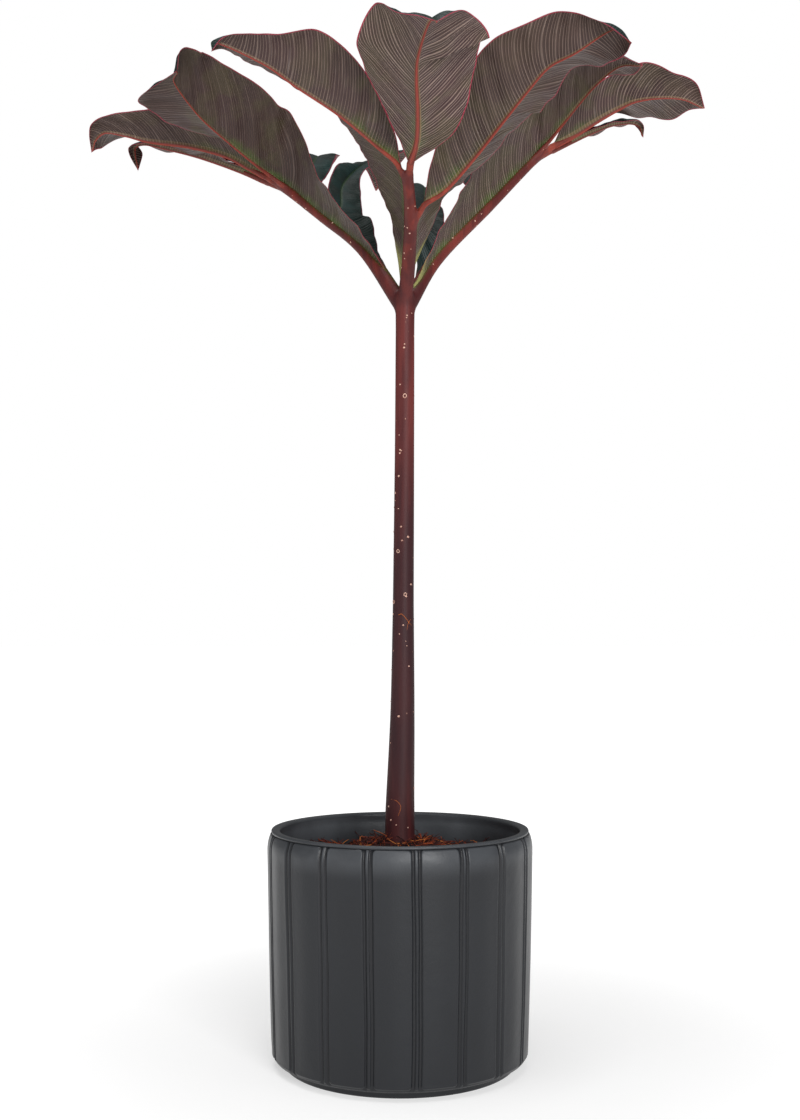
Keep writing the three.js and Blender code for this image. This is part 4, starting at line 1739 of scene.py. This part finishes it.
    def _flush(self, places: np.ndarray) -> np.ndarray:
        """Greens the skin near its joints with the blades.

        Args:
            places: the skin's points.

        Returns:
            How green each point is, from 0 to 1.
        """
        nearest = np.full(len(places), 1e9)
        high = places[:, 2] > 525.0
        lines = self._wing_lines()
        for chunk in np.array_split(np.nonzero(high)[0], 40):
            gaps = np.linalg.norm(places[chunk, None, :] - lines[None, :, :], axis=2)
            nearest[chunk] = gaps.min(axis=1)
        return smooth(2.5, 0.6, nearest)


@dataclass
class CoverPot:
    """The ribbed cover pot: panels parted by seams, each a bead between two grooves, under a plain rim."""

    height: float = 157.0
    foot_radius: float = 78.0
    base_radius: float = 86.0
    rim_radius: float = 90.0
    wall: float = 8.5
    floor: float = 10.0
    seams: int = 18
    first_seam_deg: float = 6.9
    # The relief's lowest and highest points, the wall's fullest height and how far it rounds in above that.
    ribs_start: float = 7.5
    ribs_end: float = 155.0
    fullest: float = 144.0
    shoulder: float = 2.5
    # A bead's half-width, a groove's depth, and a panel's edge, bulge and corner radius.
    bead: float = 1.25
    groove: float = 1.1
    panel_edge: float = 2.9
    crown: float = 0.25
    corner: float = 2.6
    seam_columns: tuple[float, ...] = (
        0.0, 0.45, 0.85, 1.15, 1.4, 1.7, 2.0, 2.3, 2.6, 2.9, 3.15, 3.4, 3.7, 4.1, 4.7, 5.5,
    )
    seed: int = 41

    def wall_radius(self, z: np.ndarray) -> np.ndarray:
        """Draws the outer wall without its relief: it widens slowly and rounds in below the rim.

        Args:
            z: the heights.

        Returns:
            The wall's radius at each.
        """
        share = np.clip(z / self.fullest, 0.0, 1.0)
        over = np.clip((z - self.fullest) / (self.ribs_end - self.fullest), 0.0, 1.0)
        plain = self.base_radius + (self.rim_radius - self.base_radius) * share**0.8
        return plain - self.shoulder * over**2.4

    def _columns(self) -> tuple[np.ndarray, np.ndarray, np.ndarray]:
        """Places the columns round the wall, close together at each seam.

        Returns:
            Each column's angle, its distance from its seam's middle, and its seam's number.
        """
        half = math.pi / self.seams * self.rim_radius
        far = np.linspace(self.seam_columns[-1], half, 6)[1:]
        one_side = np.concatenate([self.seam_columns, far])
        along = np.concatenate([-one_side[::-1][1:-1], one_side])
        first = np.radians(self.first_seam_deg - 90.0)
        middles = first + np.arange(self.seams) * 2.0 * math.pi / self.seams
        angle = (middles[:, None] + along[None, :] / self.rim_radius).ravel()
        seam = np.repeat(np.arange(self.seams), len(along))
        return angle, np.tile(along, self.seams), seam

    def _relief(self, along: np.ndarray, seam: np.ndarray, z: float) -> np.ndarray:
        """The seams' and panels' relief over the plain wall at one height.

        Args:
            along: each column's distance from its seam's middle.
            seam: each column's seam.
            z: the height.

        Returns:
            How far each column stands out.
        """
        draw = np.random.default_rng(self.seed)
        phases = draw.uniform(0.0, ANY_PHASE, (4, self.seams))
        sizes = draw.uniform(0.6, 1.35, (3, self.seams))
        wander = 0.36 * sizes[0] * np.sin(z / 33.0 + phases[0]) + 0.12 * np.sin(z / 11.0 + phases[1])
        place = along - wander[seam]
        bead_half = self.bead * (1.0 + 0.16 * np.sin(z / 24.0 + phases[2]) * sizes[1])[seam]
        lean = draw.uniform(-0.5, 0.5, self.seams)[seam]
        edge_half = self.panel_edge * (1.0 + 0.05 * np.sin(z / 37.0 + phases[3]) * sizes[2])[seam]
        inside = min(z - self.ribs_start, self.ribs_end - z)
        sideways = np.abs(place) - edge_half - lean * np.sign(place)
        corner = self.corner
        deep = np.minimum(sideways, inside)
        both = np.maximum(corner - sideways, 0.0) ** 2 + max(corner - inside, 0.0) ** 2
        rounded = np.where((sideways < corner) & (inside < corner), corner - np.sqrt(both), deep)
        panel = smooth(-0.45, 1.0, rounded) + 0.07 * np.exp(-(((rounded - 1.1) / 0.9) ** 2))
        crown = self.crown * smooth(2.0, 13.0, rounded)
        bead = smooth(-0.45, 0.9, np.minimum(bead_half - np.abs(place), inside))
        return np.maximum(panel + crown, bead) * self.groove - self.groove

    def _outside(self) -> list[tuple[float, float, float]]:
        """Sets out the outer wall's rows from the foot to the rim.

        Returns:
            Each row's radius, height and share of relief.
        """
        foot, base = self.foot_radius, self.base_radius
        rows = [(foot - 3.0, 0.0, 0.0), (foot - 0.9, 0.05, 0.0), (foot - 0.2, 0.5, 0.0), (foot, 1.4, 0.0)]
        rows += [(foot + 0.15, 3.0, 0.0), (foot + 0.9, 4.2, 0.0), (foot + 3.0, 4.9, 0.0)]
        rows += [(base - 2.8, 5.4, 0.0), (base - 1.1, 6.2, 0.0)]
        low = [7.1, 7.6, 8.0, 8.4, 8.9, 9.5, 10.3, 11.4, 13.0, 16.0]
        body = list(np.linspace(20.0, 140.0, 34))
        high = [142.5, 144.8, 147.0, 149.0, 150.6, 151.8, 152.7, 153.4, 153.9, 154.3, 154.6, 154.9, 155.2]
        for z in (*low, *body, *high):
            share = float(smooth(6.4, 7.2, np.array(z)) * smooth(155.6, 155.1, np.array(z)))
            rows.append((float(self.wall_radius(np.array(z))), float(z), share))
        lip = self.rim_radius - self.shoulder - 1.2
        for turn in np.radians([-62.0, -36.0, -12.0, 12.0, 34.0, 56.0, 76.0]):
            rows.append((lip + 1.3 * math.cos(turn), self.height - 1.3 + 1.3 * math.sin(turn), 0.0))
        return rows

    def _inside(self) -> list[tuple[float, float, float]]:
        """Sets out the inner wall's rows from the rim to the middle of the floor.

        Returns:
            Each row's radius, height and share of relief, which is none.
        """
        top = self.height
        inner = self.rim_radius - self.wall
        rows = [(self.rim_radius - 4.6, top - 0.05, 0.0), (inner + 2.6, top - 0.25, 0.0)]
        for turn in np.radians([112.0, 132.0, 150.0, 166.0, 180.0]):
            rows.append((inner + 1.9 + 1.9 * math.cos(turn), top - 2.2 + 1.9 * math.sin(turn), 0.0))
        rows += [(inner + 0.1, top - 3.6, 0.0), (inner + 0.5, top - 5.0, 0.0), (inner + 0.2, top - 7.5, 0.0)]
        for z in (146.0, 140.0, 132.0, 122.0, 100.0, 70.0, 40.0, 18.0):
            rows.append((float(self.wall_radius(np.array(z))) - self.wall, z, 0.0))
        low = float(self.wall_radius(np.array(self.floor))) - self.wall
        rows += [(low - 1.5, 12.0, 0.0), (low - 5.0, self.floor, 0.0), (40.0, self.floor, 0.0)]
        return rows

    def make(self, finish: Material) -> Piece:
        """Builds the pot as one closed shell.

        Args:
            finish: the glaze.

        Returns:
            The finished piece.
        """
        angle, along, seam = self._columns()
        around = len(angle)
        rings, raised = [], []
        for radius, z, share in (*self._outside(), *self._inside()):
            lift = self._relief(along, seam, z) * share
            uneven = 0.10 * np.sin(3.0 * angle + z / 45.0) + 0.07 * np.sin(7.0 * angle - z / 26.0)
            out = radius + lift + uneven * smooth(0.0, 8.0, np.array(z))
            rings.append(np.stack([out * np.cos(angle), out * np.sin(angle), np.full(around, z)], axis=1))
            # Plain rings carry painted light in place of relief: a painted highlight on the rim's crest,
            # painted light on the inner wall.
            raised.append(lift / self.groove if share > 0.0 else np.full(around, self._painted_ring_light(radius, z)))
        points, faces = closed_rings(rings, (0.0, 0.0, self.floor), (0.0, 0.0, 0.0))
        mesh = FineMesh(points, faces, [], {"raised": np.concatenate([*raised, [0.0, 0.0]])})
        return settle(mesh.build("cover_pot", [finish]), ("pot",))

    def _painted_ring_light(self, radius: float, z: float) -> float:
        """Paints light on a ring without relief: a painted highlight most on the rim's crest, and painted
        light on the inner wall.

        Args:
            radius: the ring's radius.
            z: its height.

        Returns:
            How much painted light the ring takes.
        """
        # A painted highlight on the rim's crest, and painted light over the inner wall.
        crest = math.exp(-(((z - self.height) / 1.6) ** 2))
        inner = 1.0 if radius < self.rim_radius - self.wall + 0.8 and z > 60.0 else 0.2
        return max(inner, 0.2 + 1.3 * crest) if radius > self.rim_radius - self.wall - 6.0 else 0.0


@dataclass
class CoirMulch:
    """The coir on the soil: a lumpy matted bed that rises to the stalk, with loose fibres over it."""

    edge: float = 135.8
    mound: float = 14.0
    mound_radius: float = 30.0
    lump: float = 1.1
    bottom: float = 129.3
    radius: float = 80.4
    rings: int = 74
    sectors: int = 260
    density: float = 46000.0
    seed: int = 5574
    # The loose fibres' length, radius, curl and limit, and the tufts as x, y, height and number of fibres.
    strand_length: float = 22.0
    strand_radius: float = 0.26
    curl: float = 13.0
    fibre_limit: float = 80.6
    tuft_spread: float = 3.2
    tuft_sunk: float = 1.2
    thread_sides: int = 5
    tufts: tuple[tuple[float, float, float, int], ...] = (
        (-22, 2, 9, 16), (-25, 4, 6, 12), (-9, -4, 9, 14), (13, 6, 8, 18), (18, 4, 6, 16),
        (4, -12, 6, 16), (26, 12, 4, 14), (-40, 20, 4, 14), (44, 30, 5, 14), (60, 34, 5, 12),
        (-58, 36, 5, 12), (-30, -30, 7, 16), (34, -36, 7, 16), (0, 40, 7, 18), (8, -52, 6, 16),
    )

    def top(self, x: np.ndarray, y: np.ndarray) -> np.ndarray:
        """Lays the top of the bed, with its mound, its lumps and its crumbs.

        Args:
            x: the places' distances to the right of the middle.
            y: the same towards the back.

        Returns:
            The height of the bed at each.
        """
        out = np.hypot(x, y) / self.mound_radius
        u, v = 1.4 * x, 1.4 * y
        coarse = np.sin(0.13 * u + 0.4) * np.cos(0.11 * v + 1.1)
        fine = np.sin(0.29 * u - 0.17 * v + 0.9) * np.cos(0.31 * v + 0.12 * u)
        crumbs = 0.35 * np.sin(0.9 * x + 0.5 * y) * np.cos(1.1 * y - 0.4 * x)
        crumbs = crumbs + 0.25 * np.sin(2.1 * x - 1.3 * y + 1.0) * np.sin(1.7 * y + 0.8 * x)
        mound = self.edge + self.mound * np.exp(-out * out)
        return mound + self.lump * (0.6 * coarse + 0.4 * fine) + crumbs

    def _bed(self, finish: Material) -> Piece:
        """Makes the matted bed as a closed form.

        Args:
            finish: its material.

        Returns:
            The bed.
        """
        radii = self.radius * np.linspace(1.0, 0.0, self.rings + 1)[:-1]
        turn = np.linspace(0.0, 2.0 * math.pi, self.sectors, endpoint=False)
        rim = np.stack([self.radius * np.cos(turn), self.radius * np.sin(turn)], axis=1)
        rings = [np.column_stack([rim, np.full(self.sectors, self.bottom)])]
        for radius in radii:
            x, y = radius * np.cos(turn), radius * np.sin(turn)
            rings.append(np.column_stack([x, y, self.top(x, y)]))
        peak = float(self.top(np.array(0.0), np.array(0.0)))
        points, faces = closed_rings(rings, (0.0, 0.0, peak), (0.0, 0.0, self.bottom))
        return FineMesh(points, faces).build("coir_bed", [finish])

    def _scattered(self, grower: Grower) -> Socket:
        """Scatters straight strands over the bed's upper side, each with a tone and a girth.

        Args:
            grower: the fibres' tree.

        Returns:
            The strands as single curves.
        """
        given = grower.given
        normal = grower.add("GeometryNodeInputNormal").outputs[0]
        level = grower.add("ShaderNodeSeparateXYZ", {}, {"Vector": normal}).outputs["Z"]
        upper = grower.made(
            "FunctionNodeCompare", {"A": level, "B": 0.3}, data_type="FLOAT", operation="GREATER_THAN"
        )
        places = {
            "Mesh": given["Geometry"],
            "Selection": upper,
            "Density": given["Strands a square metre"],
            "Seed": given["Seed"],
        }
        ends = {}
        for name, share in (("Start", -0.5), ("End", 0.5)):
            reach = grower.times(given["Strand length"], share)
            ends[name] = grower.made("ShaderNodeCombineXYZ", {"X": reach})
        strands = {
            "Points": grower.made(
                "GeometryNodeDistributePointsOnFaces", places, distribute_method="RANDOM"
            ),
            "Instance": grower.made("GeometryNodeCurvePrimitiveLine", ends),
            "Rotation": grower.random((-0.4, -0.46, 0.0), (0.4, 0.46, 6.283), 3),
            "Scale": grower.random(0.35, 1.5, 7),
        }
        shape = grower.made("GeometryNodeInstanceOnPoints", strands)
        for name, low, high, shift in (("tone", 0.0, 1.0, 11), ("girth", 0.5, 1.5, 13)):
            value = {"Geometry": shape, "Name": name, "Value": grower.random(low, high, shift)}
            shape = grower.made(
                "GeometryNodeStoreNamedAttribute", value, data_type="FLOAT", domain="INSTANCE"
            )
        return grower.made("GeometryNodeRealizeInstances", {"Geometry": shape})

    def _curled(self, grower: Grower, strands: Socket) -> Socket:
        """Bends every strand by a soft random field, so that no two are alike, and makes it a tube.

        Args:
            grower: the fibres' tree.
            strands: the straight strands.

        Returns:
            The fibres.
        """
        fine = grower.made("GeometryNodeResampleCurve", {"Curve": strands, "Count": 9}, mode="COUNT")
        noise = grower.add("ShaderNodeTexNoise", {"noise_dimensions": "3D"}, {"Scale": 62.0, "Detail": 1.0})
        middle = {0: noise.outputs["Color"], 1: (0.5, 0.5, 0.42)}
        centred = grower.made("ShaderNodeVectorMath", middle, operation="SUBTRACT")
        pull = {0: centred, "Scale": grower.given["Curl"]}
        offset = grower.made("ShaderNodeVectorMath", pull, operation="SCALE")
        tube = {
            "Curve": grower.made("GeometryNodeSetPosition", {"Geometry": fine, "Offset": offset}),
            "Profile Curve": grower.circle(self.thread_sides, 1.0),
            "Scale": grower.times(grower.own("girth"), grower.given["Strand radius"]),
            "Fill Caps": True,
        }
        return grower.made("GeometryNodeCurveToMesh", tube)

    def _fibres(self, bed: Piece, finish: Material) -> Piece:
        """Makes the loose fibres.

        Args:
            bed: the bed that they lie on.
            finish: the fibre's material.

        Returns:
            The fibres as a plain mesh.
        """
        sizes = {
            "Strands a square metre": self.density,
            "Strand length": self.strand_length * MM,
            "Strand radius": self.strand_radius * MM,
            "Curl": self.curl * MM,
            "Seed": self.seed,
        }
        grower = Grower("loose_fibres", sizes)
        fibres = self._curled(grower, self._scattered(grower))
        return grower.grow(linked("fibre_maker", bed.data.copy()), fibres, finish, "coir_fibres")

    def _threads(self, finish: Material) -> Piece:
        """Builds the fibres that stand up in tufts, and the few that cling to the stalk.

        Args:
            finish: the fibre's material.

        Returns:
            The fibres as a plain mesh.
        """
        draw = np.random.default_rng(self.seed + 5)
        share = np.linspace(0.0, 1.0, 9)[:, None]
        spread = np.array([self.tuft_spread, self.tuft_spread, 0.0])
        strands, tones = [], []
        for x, y, height, count in self.tufts:
            for _ in range(count):
                start = np.array([x, y, 0.0]) + draw.normal(0.0, 1.0, 3) * spread
                start[2] = float(self.top(start[0], start[1])) - self.tuft_sunk
                turn = draw.uniform(0.0, 2.0 * math.pi)
                reach = draw.uniform(4.0, 13.0)
                level = np.array([math.cos(turn), math.sin(turn), 0.0]) * reach
                rise = UP * height * draw.uniform(0.35, 1.0)
                bow = np.cross(level, UP) * draw.uniform(-0.35, 0.35)
                line = start + level * share + rise * np.sin(share * draw.uniform(1.4, 2.9))
                line = line + bow * share * (1 - share) * 4
                strands.append(self._thread(line, draw.uniform(0.16, 0.42)))
                tones.append(draw.uniform(0.0, 1.0) ** 1.6)
        for places, girth in self._clinging():
            strands.append(self._thread(rail(places).at(np.linspace(0.0, 1.0, 14)), girth))
            tones.append(0.92)
        points, faces = bundle(strands, self.thread_sides)
        tone = np.repeat(tones, [len(strand.points) * self.thread_sides for strand in strands])
        return FineMesh(points, faces, [], {"tone": tone}).build("coir_tufts", [finish])

    def _thread(self, line: np.ndarray, girth: float) -> Strand:
        """Returns a fibre that thins towards its end, from its middle line and its radius at the start."""
        return Strand(line, girth * (1.0 - 0.55 * np.linspace(0.0, 1.0, len(line)) ** 2))

    def _clinging(self) -> list[tuple[list[Point], float]]:
        """Lays the few fibres that cling to the stalk, from heights and angles read off the photo.

        Returns:
            Each fibre's middle line and radius.
        """
        lines = []
        for radius, marks, girth in (
            (7.45, [(302, -26), (302.6, -8), (300, 12), (296.5, 34), (295, 50)], 0.22),
            (7.45, [(299, 44), (297, 30), (294, 24), (291.5, 20)], 0.14),
            (9.9, [(166, -8), (172, 2), (176, -14), (177, -40)], 0.2),
            (9.95, [(146, -52), (152, -40), (158, -30)], 0.26),
        ):
            line = []
            for height, turn in marks:
                angle = math.radians(turn)
                middle = 2.2 * min(1.0, max(0.0, (height - 160.0) / 140.0))
                line.append((middle + radius * math.sin(angle), -radius * math.cos(angle), height))
            lines.append((line, girth))
        return lines

    def make(self, pith: Material, fibre: Material) -> list[Piece]:
        """Builds the bed and its loose fibres.

        Args:
            pith: the bed's material.
            fibre: the fibres' material.

        Returns:
            The finished pieces.
        """
        bed = self._bed(pith)
        fibres = self._fibres(bed, fibre)
        self._keep_in(fibres)
        threads = self._threads(fibre)
        self._keep_in(threads)
        settle(bed, ("coir_mulch",))
        return [bed, settle(fibres), settle(threads)]

    def _keep_in(self, fibres: Piece) -> None:
        """Draws in what would poke through the pot's wall.

        Args:
            fibres: the fibres.
        """
        places = points_of(fibres.data)
        out = np.hypot(places[:, 0], places[:, 1])
        limit = self.fibre_limit
        places[:, :2] *= np.where(out > limit, limit / np.maximum(out, 1e-6), 1.0)[:, None]
        move_points(fibres.data, places)


@dataclass(frozen=True)
class Spot:
    """A corky spot on the stalk: height, degrees from the front towards +X, width, and whether a ring."""

    height: float
    turn: float
    width: float
    ring: bool = False


@dataclass
class CorkySpots:
    """Pale raised spots on the stalk and branches, at listed and seeded points of the skin."""

    stalk: StalkAndBranches
    seed: int = 8
    count: int = 60
    branch_count: int = 9
    radius: float = 0.5

    def _placed(self) -> list[Spot]:
        """Places the spots that the photo shows, and seeded ones on the rest of the stalk.

        Returns:
            The stalk's spots.
        """
        shown = [
            Spot(509, 11, 1.2), Spot(507.5, 9, 1.0), Spot(511, 44, 0.9), Spot(489, -2, 1.2),
            Spot(486.6, -6, 1.7), Spot(461, -30, 1.3), Spot(453, 0, 1.15, True), Spot(437, 4, 0.9),
            Spot(426, -35, 0.9), Spot(415.6, -28, 1.3), Spot(413.4, -29, 1.5), Spot(415, -21, 1.2),
            Spot(397.5, -35, 1.7), Spot(386, -65, 1.5), Spot(375, -35, 1.0), Spot(362.5, -17, 1.5),
            Spot(355.5, 24, 1.8), Spot(353, -10, 1.3), Spot(345.7, -34, 1.0, True), Spot(323, 46, 1.6),
            Spot(316, 10, 0.95, True), Spot(314.6, 15, 1.4), Spot(311, -68, 1.1, True), Spot(295, 0, 1.3),
            Spot(289, -20, 1.0), Spot(284, 14, 0.8), Spot(281, 20, 0.8), Spot(267, 31, 1.3),
            Spot(233, -18, 1.8), Spot(172, -52, 1.4), Spot(163, -38, 1.5), Spot(160, -14, 1.2),
            Spot(158, 33, 1.1),
        ]
        draw = np.random.default_rng(self.seed)
        for number in range(self.count):
            turn = draw.uniform(60, 300)
            shown.append(Spot(draw.uniform(175, 510), turn, draw.uniform(0.6, 1.6), number % 9 == 0))
        return shown

    def _points(self) -> tuple[np.ndarray, np.ndarray, np.ndarray, np.ndarray]:
        """Sets every spot on the skin, the branches' seeded ones too.

        Returns:
            Each spot's place, the way that it faces, its width, and 1 for a ring or 0.
        """
        strand = self.stalk.strands()[0]
        places, normals, widths, rings = [], [], [], []
        for spot in self._placed():
            turn = math.radians(spot.turn)
            normal = np.array([math.sin(turn), -math.cos(turn), 0.0])
            heights = strand.points[:, 2]
            middle = np.array([np.interp(spot.height, heights, strand.points[:, 0]), 0.0, spot.height])
            radius = float(np.interp(spot.height, heights, strand.radii))
            places.append(middle + normal * radius)
            normals.append(normal)
            widths.append(spot.width)
            rings.append(float(spot.ring))
        draw = np.random.default_rng(self.seed + 1)
        for strand in self.stalk.strands()[1:4]:
            for _ in range(self.branch_count):
                share = draw.uniform(0.2, 0.95) * (len(strand.points) - 1)
                at = int(share)
                along = unit(strand.points[min(at + 1, len(strand.points) - 1)] - strand.points[at])
                normal = unit(np.cross(along, unit(draw.normal(size=3))))
                if normal[1] > 0.2:
                    normal = -normal
                places.append(strand.points[at] + normal * strand.radii[at])
                normals.append(normal)
                widths.append(draw.uniform(0.7, 1.4))
                rings.append(0.0)
        return np.array(places), np.array(normals), np.array(widths), np.array(rings)

    def _forms(self, grower: Grower) -> Socket:
        """Sets a small flattened boss, or a flat ring, on every point.

        Args:
            grower: the spots' tree.

        Returns:
            The spots as instances.
        """
        radius = grower.given["Spot radius"]
        sphere = {"Segments": 12, "Rings": 7, "Radius": radius}
        ball = grower.made("GeometryNodeMeshUVSphere", sphere)
        boss = grower.made("GeometryNodeTransform", {"Geometry": ball, "Scale": (1.0, 0.82, 0.42)})
        loop = grower.circle(16, grower.times(radius, 2.3))
        section = grower.circle(7, grower.times(radius, 0.62))
        tube = grower.made("GeometryNodeCurveToMesh", {"Curve": loop, "Profile Curve": section})
        ring = grower.made("GeometryNodeTransform", {"Geometry": tube, "Scale": (0.86, 1.0, 0.6)})
        facing = {"Vector": grower.own("facing", "FLOAT_VECTOR")}
        turned = grower.made("FunctionNodeAlignRotationToVector", facing, axis="Z")
        joined = grower.add("GeometryNodeJoinGeometry")
        for form, operation in ((boss, "LESS_THAN"), (ring, "GREATER_THAN")):
            flag = {"A": grower.own("ring"), "B": 0.5}
            chosen = grower.made("FunctionNodeCompare", flag, data_type="FLOAT", operation=operation)
            spots = {
                "Points": grower.given["Geometry"],
                "Selection": chosen,
                "Instance": form,
                "Rotation": turned,
                "Scale": grower.own("width"),
            }
            placed = grower.made("GeometryNodeInstanceOnPoints", spots)
            grower.tree.links.new(placed, joined.inputs[0])
        return joined.outputs[0]

    def make(self, finish: Material) -> Piece:
        """Builds the spots.

        Args:
            finish: their material.

        Returns:
            The finished piece.
        """
        places, normals, widths, rings = self._points()
        mesh = bpy.data.meshes.new("spot_points")
        mesh.from_pydata((places * MM).tolist(), [], [])
        facing = mesh.attributes.new("facing", "FLOAT_VECTOR", "POINT")
        facing.data.foreach_set("vector", normals.astype(np.float32).ravel())
        number_points(mesh, {"width": widths, "ring": rings})
        grower = Grower("corky_spots", {"Spot radius": self.radius * MM})
        forms = self._forms(grower)
        piece = grower.grow(linked("spot_maker", mesh), forms, finish, "corky_spots")
        piece.data.shade_smooth()
        return settle(piece)


@dataclass
class Studio:
    """The pale ground, the soft lights and the camera."""

    camera_place: Point = (0.0, -972.0, 289.0)
    pitch_deg: float = 3.0
    focal_px: float = 1411.0
    frame_px: float = 1120.0
    sensor: float = 36.0
    room_light: float = 0.2
    ground_half: float = 30.0

    def _ground(self) -> None:
        """Lays the ground."""
        edge = self.ground_half
        corners = [(-edge, -edge, 0), (edge, -edge, 0), (edge, edge, 0), (-edge, edge, 0)]
        mesh = bpy.data.meshes.new("ground")
        mesh.from_pydata(corners, [], [(0, 1, 2, 3)])
        mesh.materials.append(StudioPaper().make())
        linked("ground", mesh)

    def _panel(self, name: str, place: Point, aim: Point, size: float, watts: float) -> None:
        """Hangs one soft light.

        Args:
            name: the light's name.
            place: where it hangs, in metres.
            aim: the point that it faces.
            size: its width and height.
            watts: its power.
        """
        light = bpy.data.lights.new(name, "AREA")
        light.shape = "SQUARE"
        light.size = size
        light.energy = watts
        lamp = linked(name, light)
        lamp.location = place
        lamp.rotation_euler = (Vector(aim) - Vector(place)).to_track_quat("-Z", "Y").to_euler()

    def _sky(self) -> None:
        """Sets the even surroundings: white to look at, and a softer grey for the light that they give."""
        world = bpy.data.worlds.new("white_room")
        world.use_nodes = True
        world.node_tree.nodes.clear()
        bench = Bench(world.node_tree)
        seen = bench.add("ShaderNodeLightPath").outputs["Is Camera Ray"]
        sky = []
        for strength in (self.room_light, 1.0):
            inputs = {"Color": Shade(255, 255, 255), "Strength": strength}
            sky.append(bench.add("ShaderNodeBackground", {}, inputs).outputs[0])
        both = bench.add("ShaderNodeMixShader", {}, {0: seen, 1: sky[0], 2: sky[1]})
        bench.add("ShaderNodeOutputWorld", {}, {"Surface": both.outputs[0]})
        bpy.context.scene.world = world

    def _camera(self) -> None:
        """Sets the camera at the photo's viewing angle."""
        data = bpy.data.cameras.new("camera")
        data.sensor_width = self.sensor
        data.lens = self.focal_px * self.sensor / self.frame_px
        data.clip_end = 100.0
        camera = linked("camera", data)
        camera.location = [part * MM for part in self.camera_place]
        camera.rotation_euler = (math.radians(90.0 + self.pitch_deg), 0.0, 0.0)
        bpy.context.scene.camera = camera

    def make(self) -> None:
        """Sets up the whole studio."""
        self._ground()
        self._sky()
        self._panel("key", (0.75, -2.3, 1.0), (0.0, 0.0, 0.42), 1.1, 46.0)
        self._panel("fill", (-1.9, -1.3, 0.8), (0.0, 0.0, 0.42), 1.0, 5.0)
        self._panel("top", (-0.2, -0.3, 2.3), (0.0, 0.0, 0.3), 1.2, 24.0)
        self._camera()
        bpy.context.scene.view_settings.view_transform = "Standard"


@dataclass
class HiddenSolids:
    """The soil and the tuber: their solids are kept and given their finishes."""

    def make(self) -> None:
        """Dresses both."""
        for name, material in (("soil", PottingMix().make()), ("tuber", TuberSkin().make())):
            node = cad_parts[name]
            for place in node.material_slots:
                place.material = material
            log.info("%s: the solid, with its own finish", name)


def main() -> None:
    """Builds the whole scene in order."""
    logging.basicConfig(level=logging.INFO, format="%(name)s %(message)s")
    Studio().make()
    CoverPot().make(PotGlaze().make())
    HiddenSolids().make()
    CoirMulch().make(CoirPith().make(), CoirFibre().make())
    stalk = StalkAndBranches(LEAFLETS)
    stalk.make(StalkSkin().make())
    CorkySpots(stalk).make(FleckSkin().make())
    faces = [BladeUpperFace().make(), BladeUnderside().make()]
    for leaf in LEAFLETS:
        leaf.make(faces)


if __name__ == "__main__":
    main()
